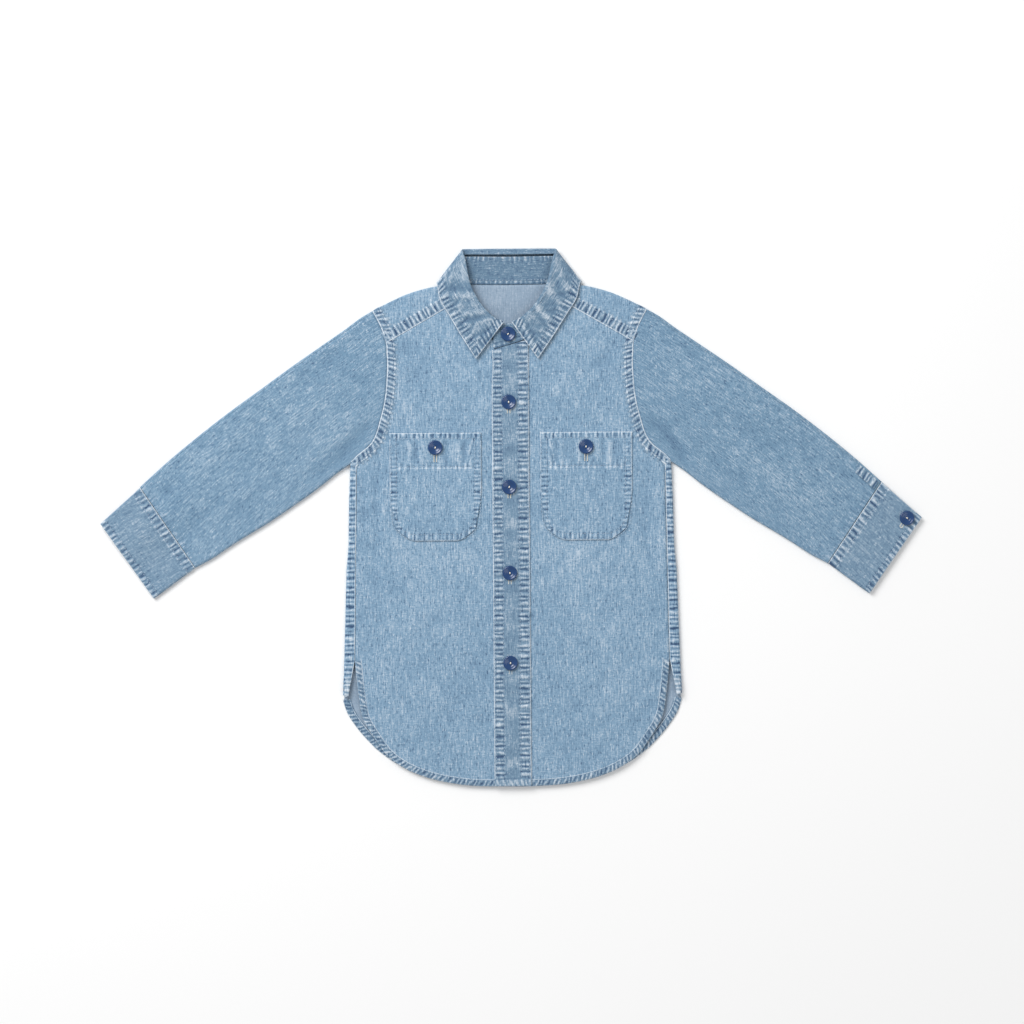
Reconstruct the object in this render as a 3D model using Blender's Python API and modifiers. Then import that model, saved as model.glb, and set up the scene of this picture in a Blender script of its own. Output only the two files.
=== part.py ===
"""A toddler's long-sleeved work shirt, buttoned up and laid flat with its front upwards.

The cloth lies on z = 0 with the collar towards +Y and the wearer's left side at +X. Each piece that a maker cuts
and sews is its own panel of cloth, and the buttons are turned. Lengths here are in millimetres until a mesh is
made, and the finished model is in metres.
"""

import math

import bmesh
import bpy
import numpy as np

MM = 0.001

CLOTH = 1.0  # thickness of a panel with its turned edges
GAP = 0.3  # between two pieces at a seam
SEAM = GAP / 2  # how far a panel stops short of its seam line
LOWER = CLOTH / 2  # height of the middle of the layer that lies on the table
UPPER = 3.9  # the same for the layer above it
ON_TOP = UPPER + CLOTH + GAP  # and for what is sewn onto the upper layer
FOLD = (UPPER - LOWER) / 2  # radius of an edge fold, at the middle of the cloth
EDGE = FOLD + CLOTH / 2  # from an edge of the shirt to where its fold starts
ARC = (-45, 0, 45)  # the bends in an edge fold, in degrees up from the middle

BUTTON_RADIUS = 7.0
BUTTON_HEIGHT = 2.5
BUTTON_LINE = -1.6  # the front buttons' X
COLLAR_BUTTON_Y = 174.3
FRONT_BUTTONS_Y = (109.7, 29.0, -52.7, -138.2)

PLACKET_HALF = 17.5
FRONT_LEFT_START = 15.5  # where the panel under the placket's stitched edge starts
FRONT_RIGHT_REACH = -13.5  # the other panel runs on under the placket, to this place past the middle

POCKET_X = 71.6
POCKET_TOP = 80.8
POCKET_WIDTH = 87.0
POCKET_HEIGHT = 102.6
POCKET_CORNER = 24.0
POCKET_BUTTON_Y = 66.9

# Lines on the wearer's left half, seen from above. The right half mirrors them.
SIDE_EDGE = ((161, -173.4), (160, -139), (158.5, -94), (157, -48), (155, -25), (154, 20), (152.7, 52.3))
BACK_HEM = ((0, -254.8), (51, -252.2), (84, -244.8), (115.4, -230.4), (130.2, -219))
BACK_VENT = ((130.2, -219), (141, -207.6), (150.1, -196.2), (157.2, -184.8), (161, -173.4))
FRONT_HEM = ((0, -255.6), (51.3, -253.2), (84.5, -245.6), (101.2, -238.5), (113, -231), (122, -222.8))
FRONT_VENT = ((122, -222.8), (133, -206.6), (141.3, -192.4), (146.5, -165.8), (149.6, -135.4))
SIDE_SEAM = ((149.6, -135.4), (149, -107), (148, -40), (146.9, 20), (146.5, 59.5))
ARMHOLE = (
    (146.5, 59.5), (132.3, 71.7), (123.1, 95.5), (118.6, 116.4), (117.2, 131.6), (116.5, 148.7), (117.0, 157.0)
)
YOKE_ARMHOLE = ((117.5, 166.7), (120, 175.5), (123.3, 183.8), (129.3, 195.3))
BACK_YOKE_SEAM_Y = 157.0
ARMPIT = (152.7, 52.3)
VENT_TOP_Y = -168.0
SHOULDER = ((61.5, 222.0), (69, 220.8), (94, 214.2), (119.7, 202.8), (130.3, 197.3))
FRONT_NECK = ((13, 168), (24, 173), (34, 179), (48, 190), (56, 202))
NECK_SLOPE = 8 / 28  # of the neckline in front of the wings
SLEEVE_TOP = (
    (130.3, 197.3), (140.6, 191.4), (156.3, 180), (172.9, 168.6), (206.2, 145.8), (238, 123), (269.8, 100.2),
    (299.3, 77.4), (326.8, 54.6), (352.4, 31.5)
)
SLEEVE_LOW = (
    (152.7, 52.3), (165.3, 43.2), (179.6, 31.8), (195.2, 20.4), (211.9, 9), (229, -2.4), (248, -13.8),
    (266.5, -25.2), (283.6, -36.6), (300.7, -45.7)
)
HAND_TOP = (390.5, -2.6)
HAND_LOW = (340.1, -74.8)

COLLAR_LEAN = 0.027  # the wings lean this much towards the wearer's right

CUFF_BUTTON = (10.3, 11.4)  # from the cuff's upper edge, and from its hand edge
CUFF_LAP = 19.5  # how far the cuff's under end reaches inside it
LAP_FOLD = 0.85
BUTTON_LIFT = 2.9  # the right cuff lies on its button, which raises it by this much


def at(points, fractions):
    """Points at these fractions of the length of the smooth curve through points."""
    p = np.array(points, float)
    t = np.concatenate([[0], np.cumsum(np.linalg.norm(np.diff(p, axis=0), axis=1))])
    t /= t[-1]
    slope = np.gradient(p, t, axis=0)
    f = np.asarray(fractions, float)
    i = np.clip(np.searchsorted(t, f, side="right") - 1, 0, len(t) - 2)
    h = (t[i + 1] - t[i])[:, None]
    s = (f - t[i])[:, None] / h
    return (
        (2 * s**3 - 3 * s**2 + 1) * p[i]
        + (s**3 - 2 * s**2 + s) * h * slope[i]
        + (3 * s**2 - 2 * s**3) * p[i + 1]
        + (s**3 - s**2) * h * slope[i + 1]
    )


def split(points, pieces):
    return at(points, np.linspace(0, 1, pieces + 1))


def x_at(points, y):
    """X of a line that rises in Y, at these heights."""
    p = np.array(points, float)
    return np.interp(y, p[:, 1], p[:, 0])


def moved(points, distance):
    """The line moved sideways to its left by a distance."""
    along = np.gradient(points, axis=0)
    along /= np.linalg.norm(along, axis=1)[:, None]
    return points + distance * np.stack([-along[:, 1], along[:, 0]], axis=1)


def steps(points):
    """How far along a line each of its points is, from 0 to 1."""
    run = np.concatenate([[0], np.cumsum(np.linalg.norm(np.diff(points, axis=0), axis=1))])
    return run / run[-1]


def fill(bottom, top, left, right):
    """Rows of points between four edges, the rows from left to right and the first row along the bottom."""
    u = ((steps(bottom) + steps(top)) / 2)[None, :, None]
    v = ((steps(left) + steps(right)) / 2)[:, None, None]
    across = (1 - u) * left[:, None] + u * right[:, None]
    upwards = (1 - v) * bottom[None] + v * top[None]
    corners = (1 - v) * ((1 - u) * bottom[0] + u * bottom[-1]) + v * ((1 - u) * top[0] + u * top[-1])
    return across + upwards - corners


def raised(plan, height):
    """Points in plan with a height, one number or one for each."""
    plan = np.asarray(plan, float)
    return np.concatenate([plan, np.broadcast_to(height, plan.shape[:-1])[..., None]], axis=-1)


def ramp(value, start, end):
    """0 before start, 1 after end and smooth between; start may be the larger."""
    s = np.clip((np.asarray(value, float) - start) / (end - start), 0, 1)
    return s * s * (3 - 2 * s)


def collection(name):
    found = bpy.data.collections.new(name)
    bpy.context.scene.collection.children.link(found)
    return found


def material(name, colour, roughness):
    made = bpy.data.materials.new(name)
    made.use_nodes = True
    shader = made.node_tree.nodes["Principled BSDF"]
    shader.inputs["Base Color"].default_value = (*colour, 1)
    shader.inputs["Roughness"].default_value = roughness
    shader.inputs["Metallic"].default_value = 0
    return made


def cloth(name, rows, look, mirror=False, leave_out=None):
    """A panel: a grid bent onto rows of points, given the cloth's thickness. leave_out(row, column) is a missing
    square of the grid, and mirror adds the other half of a panel whose rows start on X = 0."""
    bm = bmesh.new()
    high, wide = rows.shape[0] - 1, rows.shape[1] - 1
    bmesh.ops.create_grid(bm, x_segments=wide, y_segments=high, size=1)
    place = {v: (round((v.co.y + 1) / 2 * high), round((v.co.x + 1) / 2 * wide)) for v in bm.verts}
    if leave_out:
        gone = [f for f in bm.faces if leave_out(*np.min([place[v] for v in f.verts], axis=0))]
        bmesh.ops.delete(bm, geom=gone, context="FACES")
    for v in bm.verts:
        v.co = rows[place[v]] * MM
    mesh = bpy.data.meshes.new(name)
    bm.to_mesh(mesh)
    bm.free()
    piece = bpy.data.objects.new(name, mesh)
    SHIRT.objects.link(piece)
    mesh.materials.append(look)
    if mirror:
        other_half = piece.modifiers.new("other half", "MIRROR")
        other_half.merge_threshold = 0.0001
    thickness = piece.modifiers.new("thickness", "SOLIDIFY")
    thickness.thickness = CLOTH * MM
    thickness.offset = 0
    mesh.shade_smooth()
    return piece


def tube(name, rings, look):
    """A closed sleeve of cloth through rings of points."""
    closed = np.concatenate([rings, rings[:, :1]], axis=1)
    piece = cloth(name, closed, look)
    weld = piece.modifiers.new("weld", "WELD")
    weld.merge_threshold = 0.00001
    piece.modifiers.move(1, 0)
    return piece


def sided(points, side):
    """The points for the wearer's left, +1, or for the right, -1."""
    return points * np.array([side, 1, 1])


def fold(start, outward, low, high, angles=ARC):
    """Points round an edge fold that starts at start, between a low and a high layer."""
    radius = (high - low) / 2
    turn = np.radians(np.asarray(angles, float))
    plan = np.asarray(start) + np.outer(radius * np.cos(turn), outward)
    return raised(plan, (high + low) / 2 + radius * np.sin(turn))


def armhole_near_pit(x):
    """Y of the armhole between the side seam and the armpit."""
    return np.interp(x, (146.5, 147.7, 150.3, 152.7), (59.5, 58.4, 55.6, 52.3))


def back_panel():
    hem = split(BACK_HEM, 6)
    vent = split(BACK_VENT, 4)
    side_y = np.concatenate([np.linspace(VENT_TOP_Y, -107, 3), np.linspace(-60, 20, 3)])
    side = np.stack([x_at(SIDE_EDGE, side_y) - EDGE, side_y], axis=1)
    pit_x = ARMPIT[0] - EDGE
    pit = np.array([[pit_x, armhole_near_pit(pit_x) - GAP]])
    armhole = moved(np.concatenate([pit, ARMHOLE]), SEAM)
    armhole[-1, 1] = BACK_YOKE_SEAM_Y - SEAM
    outer = np.concatenate([vent, side, armhole])
    first_wrap, last_wrap = len(vent), len(vent) + len(side)

    top = np.stack([np.linspace(0, outer[-1, 0], 7), np.full(7, outer[-1, 1])], axis=1)
    rise = (outer[:, 1] - outer[0, 1]) / (outer[-1, 1] - outer[0, 1])
    middle = np.stack([np.zeros(len(outer)), hem[0, 1] + rise * (top[0, 1] - hem[0, 1])], axis=1)
    flat = raised(fill(hem, top, middle, outer), LOWER)

    wrap = []
    for row in range(len(outer)):
        start = flat[row, -1, :2]
        seam_x = x_at(SIDE_SEAM, start[1]) + SEAM
        if start[1] < SIDE_SEAM[0][1]:
            seam_x = np.interp(start[1], (VENT_TOP_Y, SIDE_SEAM[0][1]), (156, SIDE_SEAM[0][0] + SEAM))
        edge = fold(start, (1, 0), LOWER, UPPER)
        strip = raised(np.stack([np.linspace(start[0], seam_x, 3), np.full(3, start[1])], axis=1), UPPER)
        line = np.concatenate([edge, strip])
        if row == last_wrap:
            line[:, 1] = armhole_near_pit(line[:, 0]) - 2.5 * GAP
        wrap.append(line)
    rows = np.concatenate([flat, np.array(wrap)], axis=1)

    def leave_out(row, column):
        return column >= flat.shape[1] - 1 and not first_wrap <= row < last_wrap

    return cloth("back_panel", rows, DENIM, mirror=True, leave_out=leave_out)


def neck_y(x):
    """Y of the neckline in front of the neck, for X on the panel's own side."""
    return FRONT_NECK[0][1] - (FRONT_NECK[0][0] - x) * NECK_SLOPE


def front_panel(name, side, inner):
    hem_start = (inner, FRONT_HEM[0][1])
    hem = split((hem_start, *[p for p in FRONT_HEM if p[0] > inner + 5]), 8)
    vent = split(FRONT_VENT, 4)
    seam = split(SIDE_SEAM, 5)[1:]
    armhole = np.array((*ARMHOLE[1:], YOKE_ARMHOLE[0]))
    outer = moved(np.concatenate([vent, seam, armhole]), SEAM)
    neck = split(((inner, neck_y(inner)), *[p for p in FRONT_NECK if p[0] > inner]), 5)
    yoke_seam = split((FRONT_NECK[-1], YOKE_ARMHOLE[0]), 3)[1:]
    top = moved(np.concatenate([neck, yoke_seam]), -SEAM)
    top[0, 0] = inner
    top[-1] = outer[-1] = YOKE_ARMHOLE[0] + np.array([-SEAM, -SEAM * 1.5])
    rise = (outer[:, 1] - outer[0, 1]) / (outer[-1, 1] - outer[0, 1])
    middle = np.stack([np.full(len(outer), inner), hem[0, 1] + rise * (top[0, 1] - hem[0, 1])], axis=1)
    rows = raised(fill(hem, top, middle, outer), UPPER)
    return cloth(name, sided(rows, side), DENIM)


# Across the yoke: X at its back seam, then X and Y where it turns, at the neck or at the shoulder.
YOKE_LINES = ((0, 0, 221.0), (19, 20, 221.2), (36, 40, 221.6), (47, 54, 222.1))
NECK_LIFT = 1.4  # the back of the collar lies under the neck of the yoke


def yoke_height(x, y):
    """Height of the back of the yoke, which lies on the collar near the neck."""
    return LOWER + NECK_LIFT * ramp(y, 188, 207) * ramp(x, 90, 72)


def yoke():
    columns = []
    arc_points, front_points = len(ARC), 4
    for x, neck_x, y in YOKE_LINES:
        plan = split(((x, BACK_YOKE_SEAM_Y + SEAM), (neck_x, y)), 4)
        back = raised(plan, yoke_height(plan[:, 0], plan[:, 1]))
        columns.append(np.concatenate([back, np.repeat(back[-1:], arc_points + front_points, axis=0)]))
    shoulder = split(SHOULDER, 4)
    outward = moved(shoulder, 1) - shoulder
    front_seam = split((FRONT_NECK[-1], YOKE_ARMHOLE[0]), 4)
    front_seam = moved(front_seam, SEAM)
    back_x = (56, 74, 90, 104, ARMHOLE[-1][0] - SEAM)
    for i, start in enumerate(shoulder - EDGE * outward):
        plan = split(((back_x[i], BACK_YOKE_SEAM_Y + SEAM), tuple(start)), 4)
        front = split((tuple(start), tuple(front_seam[i])), 3)
        if i == len(shoulder) - 1:
            plan = np.array([(ARMHOLE[-1][0], BACK_YOKE_SEAM_Y + SEAM), *YOKE_ARMHOLE]) - [SEAM, 0]
            front = plan[:0:-1].copy()
            front[-1, 1] += SEAM
        back = raised(plan, yoke_height(plan[:, 0], plan[:, 1]))
        low = back[-1, 2]
        high = UPPER + 0.5 * (low - LOWER) / NECK_LIFT
        top = raised(front, high + (UPPER - high) * np.linspace(0, 1, 4))
        columns.append(np.concatenate([back, fold(plan[-1], outward[i], low, high), top]))
    rows = np.array(columns).transpose(1, 0, 2)
    neck = len(YOKE_LINES)
    return cloth("yoke", rows, DENIM, mirror=True, leave_out=lambda row, column: column < neck and row >= 4)


def along_sleeve():
    return np.array((0, 0.03, 0.06, 0.1, 0.15, 0.21, 0.33, 0.5, 0.66, 0.8, 0.91, 1))


def outward_from(edge, sign, first):
    """Which way the cloth's edge faces at each point, from a given way at the armhole to square at 1/8 of it."""
    square = (moved(edge, 1) - edge) * sign
    share = ramp(steps(edge), 0, 0.12)[:, None]
    mixed = (1 - share) * np.array(first) + share * square
    return mixed / np.linalg.norm(mixed, axis=1)[:, None]


def cuff_lift(plan):
    """How far the right cuff's button raises the cloth over it."""
    towards_body = np.subtract(SLEEVE_TOP[-1], HAND_TOP)
    towards_body = towards_body / np.linalg.norm(towards_body)
    inwards = np.subtract(HAND_LOW, HAND_TOP)
    inwards = inwards / np.linalg.norm(inwards)
    from_corner = np.asarray(plan, float) - HAND_TOP
    length = from_corner @ towards_body
    across = from_corner @ inwards
    return BUTTON_LIFT * ramp(length, 150, 28) * ramp(across, 64, 26)


def pit_fold(plan, depth):
    """The soft fold that runs across the sleeve beside the armpit."""
    start, end = np.array((131.0, 96.0)), np.array((171.0, 50.0))
    way = end - start
    t = np.clip(((plan - start) @ way) / (way @ way), 0, 1)
    near = np.linalg.norm(plan - (start + t[..., None] * way), axis=-1)
    return -depth * np.exp(-((near / 8) ** 2))


def sleeve(name, side, depth):
    s = along_sleeve()
    upper, lower = at(SLEEVE_TOP, s), at(SLEEVE_LOW, s)
    up, down = outward_from(upper, 1, (0.45, 0.893)), outward_from(lower, -1, (0.65, -0.76))
    upper_in, lower_in = upper - EDGE * up, lower - EDGE * down
    pit_x = ARMPIT[0] - EDGE
    pit = (pit_x, armhole_near_pit(pit_x))
    armhole = moved(np.array([*YOKE_ARMHOLE[::-1], *ARMHOLE[::-1], pit]), SEAM + 0.1)
    upper_in[0], lower_in[0] = armhole[0], armhole[-1]
    seam_end = split((upper_in[-1], lower_in[-1]), len(armhole) - 1)
    plan = fill(armhole, seam_end, upper_in, lower_in)
    above = raised(plan, UPPER + pit_fold(plan, depth))
    below = raised(plan, LOWER)[:, ::-1]
    low_fold = np.array([fold(p, d, LOWER, UPPER, ARC[::-1]) for p, d in zip(plan[:, -1], down)])
    top_fold = np.array([fold(p, d, LOWER, UPPER) for p, d in zip(plan[:, 0], up)])
    rings = np.concatenate([above, low_fold, below, top_fold], axis=1)
    if side < 0:
        rings[..., 2] += cuff_lift(rings[..., :2])
    return tube(name, sided(rings, side), SLEEVE_DENIM)


def cuff_ends(depth):
    """The cuff's upper and lower edge, at 0 by the sleeve to 1 by the hand."""
    top = (1 - depth) * np.array(SLEEVE_TOP[-1]) + depth * np.array(HAND_TOP)
    low = (1 - depth) * np.array(SLEEVE_LOW[-1]) + depth * np.array(HAND_LOW)
    return top, low


def cuff_point(across, depth):
    """Places on the cuff, these distances from its upper edge."""
    top, low = cuff_ends(depth)
    return top + np.outer(across, (low - top) / np.linalg.norm(low - top))


def cuff(name, side):
    rows = []
    seam_side = GAP / 50
    for depth in (seam_side, 0.25, 0.5, 0.77, 1):
        top, low = cuff_ends(depth)
        wide = np.linalg.norm(low - top)
        turn = np.radians(ARC[::-1])
        outer = [(w, UPPER) for w in (0.4, 10, 20, 32, 48, 64, wide - EDGE)]
        low_fold = [(wide - EDGE + FOLD * math.cos(a), LOWER + FOLD + FOLD * math.sin(a)) for a in turn]
        under = [(w, LOWER) for w in (wide - EDGE, 64, 48, 32, 20, 10, EDGE)]
        lap_z = LOWER + 2 * LAP_FOLD
        lap_fold = [(EDGE - LAP_FOLD * math.cos(a), LOWER + LAP_FOLD + LAP_FOLD * math.sin(a)) for a in -turn]
        lap = [(w, lap_z) for w in (EDGE, 10, CUFF_LAP)]
        section = np.array(outer + low_fold + under + lap_fold + lap)
        plan = cuff_point(section[:, 0], depth)
        height = section[:, 1]
        if side < 0:
            height = LOWER + UPPER - height + cuff_lift(plan)
        rows.append(raised(plan, height))
    return cloth(name, sided(np.array(rows), side), CUFF_DENIM)


def sleeve_vent_binding(name, side):
    """The strip that binds the sleeve's slit, at its upper edge above the cuff."""
    across = np.subtract(SLEEVE_LOW[-1], SLEEVE_TOP[-1])
    across = across / np.linalg.norm(across)
    outer = at(SLEEVE_TOP, np.linspace(0.905, 0.99, 5)) + across * 2.6
    rows = np.array([outer + across * w for w in (0, 4, 8)])
    height = np.full(rows.shape[:2], ON_TOP)
    if side < 0:
        height = LOWER - CLOTH - GAP + cuff_lift(rows)
    return cloth(name, sided(raised(rows, height), side), CUFF_DENIM)


# The collar's stations from the middle of the back round to the front, on the wearer's left. Each gives the
# neckline, the stand's top edge, the middle of the roll and the edge of the fall, all as X, Y and height.
COLLAR = (
    ((0, 221.4, 1.8), (0, 247.6, 5.3), (0, 255.1, 3.1), (0, 211, 0.5)),
    ((20, 221.6, 1.8), (19, 247.8, 5.3), (20, 255.1, 3.1), (22, 211.3, 0.5)),
    ((40, 222.0, 1.8), (36, 248.0, 5.5), (37.5, 255.0, 3.2), (46, 213, 0.5)),
    ((54, 222.5, 1.9), (44.5, 247.8, 6.0), (42.6, 254.9, 4.6), (60, 216.2, 0.5)),
    ((59.5, 223.5, 2.2), (46.4, 247.4, 6.3), (44.0, 254.6, 6.0), (67.6, 219.2, 0.5)),
    ((61.2, 224.1, 2.8), (47.3, 247.0, 6.7), (44.4, 254.2, 7.3), (68.3, 223.3, 1.5)),
    ((61.6, 224.4, 3.4), (47.6, 246.5, 7.2), (44.3, 253.4, 8.6), (68.2, 223.9, 3.7)),
    ((61.2, 223.0, 4.2), (46.9, 244.6, 7.7), (43.4, 250.8, 9.7), (68.0, 222.5, 5.9)),
    ((60.2, 220.3, 4.4), (45.4, 242.0, 8.0), (42.2, 247.2, 10.2), (67.0, 217.6, 6.7)),
    ((56.2, 205.4, 4.4), (40.6, 220.0, 8.0), (36.9, 223.5, 10.2), (64.6, 207.0, 6.7)),
    ((47.4, 190.8, 4.5), (32.7, 204.2, 7.8), (29.1, 207.6, 10.0), (57.0, 194.5, 6.7)),
    ((33.4, 179.9, 4.9), (19.4, 189.3, 7.2), (15.7, 192.0, 9.4), (44.0, 173.0, 6.7)),
    ((15.8, 170.2, 5.2), (5.4, 184.9, 6.0), (3.7, 185.3, 8.4), (29.5, 150.8, 6.9)),
)
LAST_BEHIND = 4  # the last station whose fall lies on the table
FIRST_IN_FRONT = 8
STAND_LEFT_END = ((2, 165.2, -2, 184.1), (-9, 162.0, -10, 182.0), (-15.5, 160.5, -15.8, 176.5))
STAND_RIGHT_END = ((2, 165.4, -2, 184.1), (-8, 162.5, -9, 182.0), (-13.4, 161.2, -13.8, 176.5))


def stand_half(end, height):
    """Rows up one half of the stand, whose end past the wing is at a height of its own."""
    stations = [(np.array(neck), np.array(top)) for neck, top, _, _ in COLLAR]
    stations[-1] = (np.array((*COLLAR[-1][0][:2], height)), np.array((*COLLAR[-1][1][:2], height + 0.5)))
    for x, y, top_x, top_y in end:
        stations.append((np.array((x, y, height)), np.array((top_x, top_y, height))))
    return np.array([[neck + (top - neck) * k for k in (0, 0.33, 0.67, 1)] for neck, top in stations])


def collar_stand():
    """The stand, whose left end laps over its right end in front and is buttoned to it."""
    left, right = stand_half(STAND_LEFT_END, ON_TOP), stand_half(STAND_RIGHT_END, UPPER)
    return cloth("collar_stand", np.concatenate([sided(right, -1)[:0:-1], left]), COLLAR_DENIM)


def collar_leaf():
    """The fall of the collar, rolled over the stand: behind it at the back, and over it in front."""
    stations = []
    for number, station in enumerate(COLLAR):
        _, top, roll, edge = np.array(station)
        front = ramp(number, LAST_BEHIND - 1, FIRST_IN_FRONT)
        start = top + (roll - top) * 0.3 + np.array((0, 0, 1.6 * front))
        past = roll + (edge - roll) * 0.06 + np.array((0, 0, -2.2 + 2.6 * front))
        near = roll + (edge - roll) * 0.3
        far = roll + (edge - roll) * 0.65
        if number <= LAST_BEHIND:
            near[2] = far[2] = edge[2]
        stations.append([start, roll, past, near, far, edge])
    half = np.array(stations)
    rows = np.concatenate([sided(half, -1)[:0:-1], half])
    below_fold = np.clip(COLLAR[0][2][1] - rows[..., 1], 0, None)
    rows[..., 0] -= COLLAR_LEAN * below_fold * ramp(rows[..., 2], 4, 6)
    return cloth("collar_leaf", rows, COLLAR_DENIM)


def flat_piece(name, outline, height, look):
    """A piece cut to an outline, lying flat with its middle at a height."""
    curve = bpy.data.curves.new(name, "CURVE")
    curve.dimensions = "2D"
    curve.fill_mode = "BOTH"
    curve.extrude = CLOTH / 2 * MM
    spline = curve.splines.new("POLY")
    spline.points.add(len(outline) - 1)
    for point, (x, y) in zip(spline.points, outline):
        point.co = (x * MM, y * MM, 0, 1)
    spline.use_cyclic_u = True
    curve.materials.append(look)
    piece = bpy.data.objects.new(name, curve)
    piece.location.z = height * MM
    SHIRT.objects.link(piece)
    return piece


def placket():
    top = neck_y(np.array((-PLACKET_HALF, 0, PLACKET_HALF))) - GAP
    hem = split(((-PLACKET_HALF, -255.3), (0, -255.6), (PLACKET_HALF, -255.3)), 4)
    up = [(PLACKET_HALF, y) for y in (-140, -20, 90)]
    down = [(-PLACKET_HALF, y) for y in (90, -20, -140)]
    top_edge = list(zip((PLACKET_HALF, 0, -PLACKET_HALF), top[::-1]))
    return flat_piece("front_placket", [*hem, *up, *top_edge, *down], ON_TOP, PLACKET_DENIM)


def pocket(name, side):
    left, right = POCKET_X - POCKET_WIDTH / 2, POCKET_X + POCKET_WIDTH / 2
    bottom = POCKET_TOP - POCKET_HEIGHT
    outline = [(right, POCKET_TOP), (left, POCKET_TOP)]
    for centre_x, start in ((left + POCKET_CORNER, 180), (right - POCKET_CORNER, 270)):
        for angle in np.radians(np.linspace(start, start + 90, 7)):
            corner = np.array((centre_x, bottom + POCKET_CORNER))
            outline.append(corner + POCKET_CORNER * np.array((math.cos(angle), math.sin(angle))))
    outline = [(side * x, y) for x, y in outline]
    return flat_piece(name, outline[::side], ON_TOP, DENIM)


def side_gusset(name, side):
    """The small folded patch at the top of the vent, on the end of the side seam."""
    outline = [(152.5, -150.5), (158.9, -153), (159.2, -166.5), (156.8, -167.5)]
    return flat_piece(name, [(side * x, y) for x, y in outline][::side], ON_TOP, CUFF_DENIM)


def button(name, x, y, base):
    """A turned two-hole button with a raised rim and a dished middle."""
    profile = (
        (0, 1.25), (2.6, 1.35), (4.6, 2.1), (5.7, 2.5), (6.6, 2.2), (7.0, 1.5), (6.7, 0.6), (5.6, 0), (0, 0)
    )
    mesh = bpy.data.meshes.new(name)
    points = [(r * BUTTON_RADIUS / 7 * MM, 0, z * BUTTON_HEIGHT / 2.5 * MM) for r, z in profile]
    mesh.from_pydata(points, [(i, i + 1) for i in range(len(points) - 1)], [])
    mesh.materials.append(BUTTON_BLUE)
    piece = bpy.data.objects.new(name, mesh)
    piece.location = (x * MM, y * MM, base * MM)
    SHIRT.objects.link(piece)
    screw = piece.modifiers.new("turned", "SCREW")
    screw.steps = screw.render_steps = 14
    screw.use_merge_vertices = True
    screw.merge_threshold = 0.00001
    for i, offset in enumerate((-1.2, 1.2)):
        drill = bpy.data.objects.new(f"{name}_hole_{i + 1}", HOLE)
        drill.location = (x * MM, (y + offset) * MM, (base + 1) * MM)
        drill.hide_render = True
        drill.display_type = "WIRE"
        DRILLS.objects.link(drill)
        hole = piece.modifiers.new(f"hole {i + 1}", "BOOLEAN")
        hole.object = drill
    return piece


def hole_mesh():
    mesh = bpy.data.meshes.new("button_hole")
    bm = bmesh.new()
    bmesh.ops.create_cone(
        bm, cap_ends=True, segments=6, radius1=0.65 * MM, radius2=0.65 * MM, depth=8 * MM
    )
    bm.to_mesh(mesh)
    bm.free()
    return mesh


def buttons():
    button("button_collar", BUTTON_LINE, COLLAR_BUTTON_Y, ON_TOP + CLOTH / 2 + GAP)
    for i, y in enumerate(FRONT_BUTTONS_Y):
        button(f"button_front_{i + 1}", BUTTON_LINE, y, ON_TOP + CLOTH / 2 + GAP)
    for name, side in (("left", 1), ("right", -1)):
        button(f"button_pocket_{name}", side * POCKET_X, POCKET_BUTTON_Y, ON_TOP + CLOTH / 2 + GAP)
    across, from_hand = CUFF_BUTTON
    x, y = cuff_point((across,), 1 - from_hand / 50)[0]
    button("button_cuff_left", x, y, UPPER + CLOTH / 2 + GAP)
    button("button_cuff_right", -x, y, 0)


for leftover in list(bpy.data.objects):
    bpy.data.objects.remove(leftover)

SHIRT = collection("denim_shirt")
DRILLS = collection("drills")
DENIM = material("washed denim", (0.242, 0.381, 0.515), 0.92)
SLEEVE_DENIM = material("washed denim of the sleeves", (0.231, 0.362, 0.503), 0.92)
CUFF_DENIM = material("washed denim of the cuffs", (0.223, 0.337, 0.462), 0.92)
COLLAR_DENIM = material("washed denim of the collar", (0.209, 0.328, 0.451), 0.92)
PLACKET_DENIM = material("washed denim of the placket", (0.227, 0.337, 0.462), 0.92)
BUTTON_BLUE = material("blue button", (0.05, 0.125, 0.25), 0.25)
HOLE = hole_mesh()

back_panel()
yoke()
front_panel("front_left", 1, FRONT_LEFT_START)
front_panel("front_right", -1, FRONT_RIGHT_REACH)
placket()
collar_stand()
collar_leaf()
for name, side, depth in (("left", 1, 1.3), ("right", -1, 0.9)):
    sleeve(f"sleeve_{name}", side, depth)
    cuff(f"cuff_{name}", side)
    sleeve_vent_binding(f"sleeve_vent_binding_{name}", side)
    pocket(f"pocket_{name}", side)
    side_gusset(f"side_gusset_{name}", side)
buttons()
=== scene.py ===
"""The looks of a toddler's washed denim work shirt, laid flat with its front up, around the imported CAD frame.

Lengths are in millimetres until a mesh is made. Plan curves and heights are those of the CAD panels, and the
cloth is drawn finely on them: soft wrinkles, felled seams, hems, puckers, stitches and buttons. The wearer's
right side is the left one mirrored, with its own creases and puckers.
"""

import math

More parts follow.
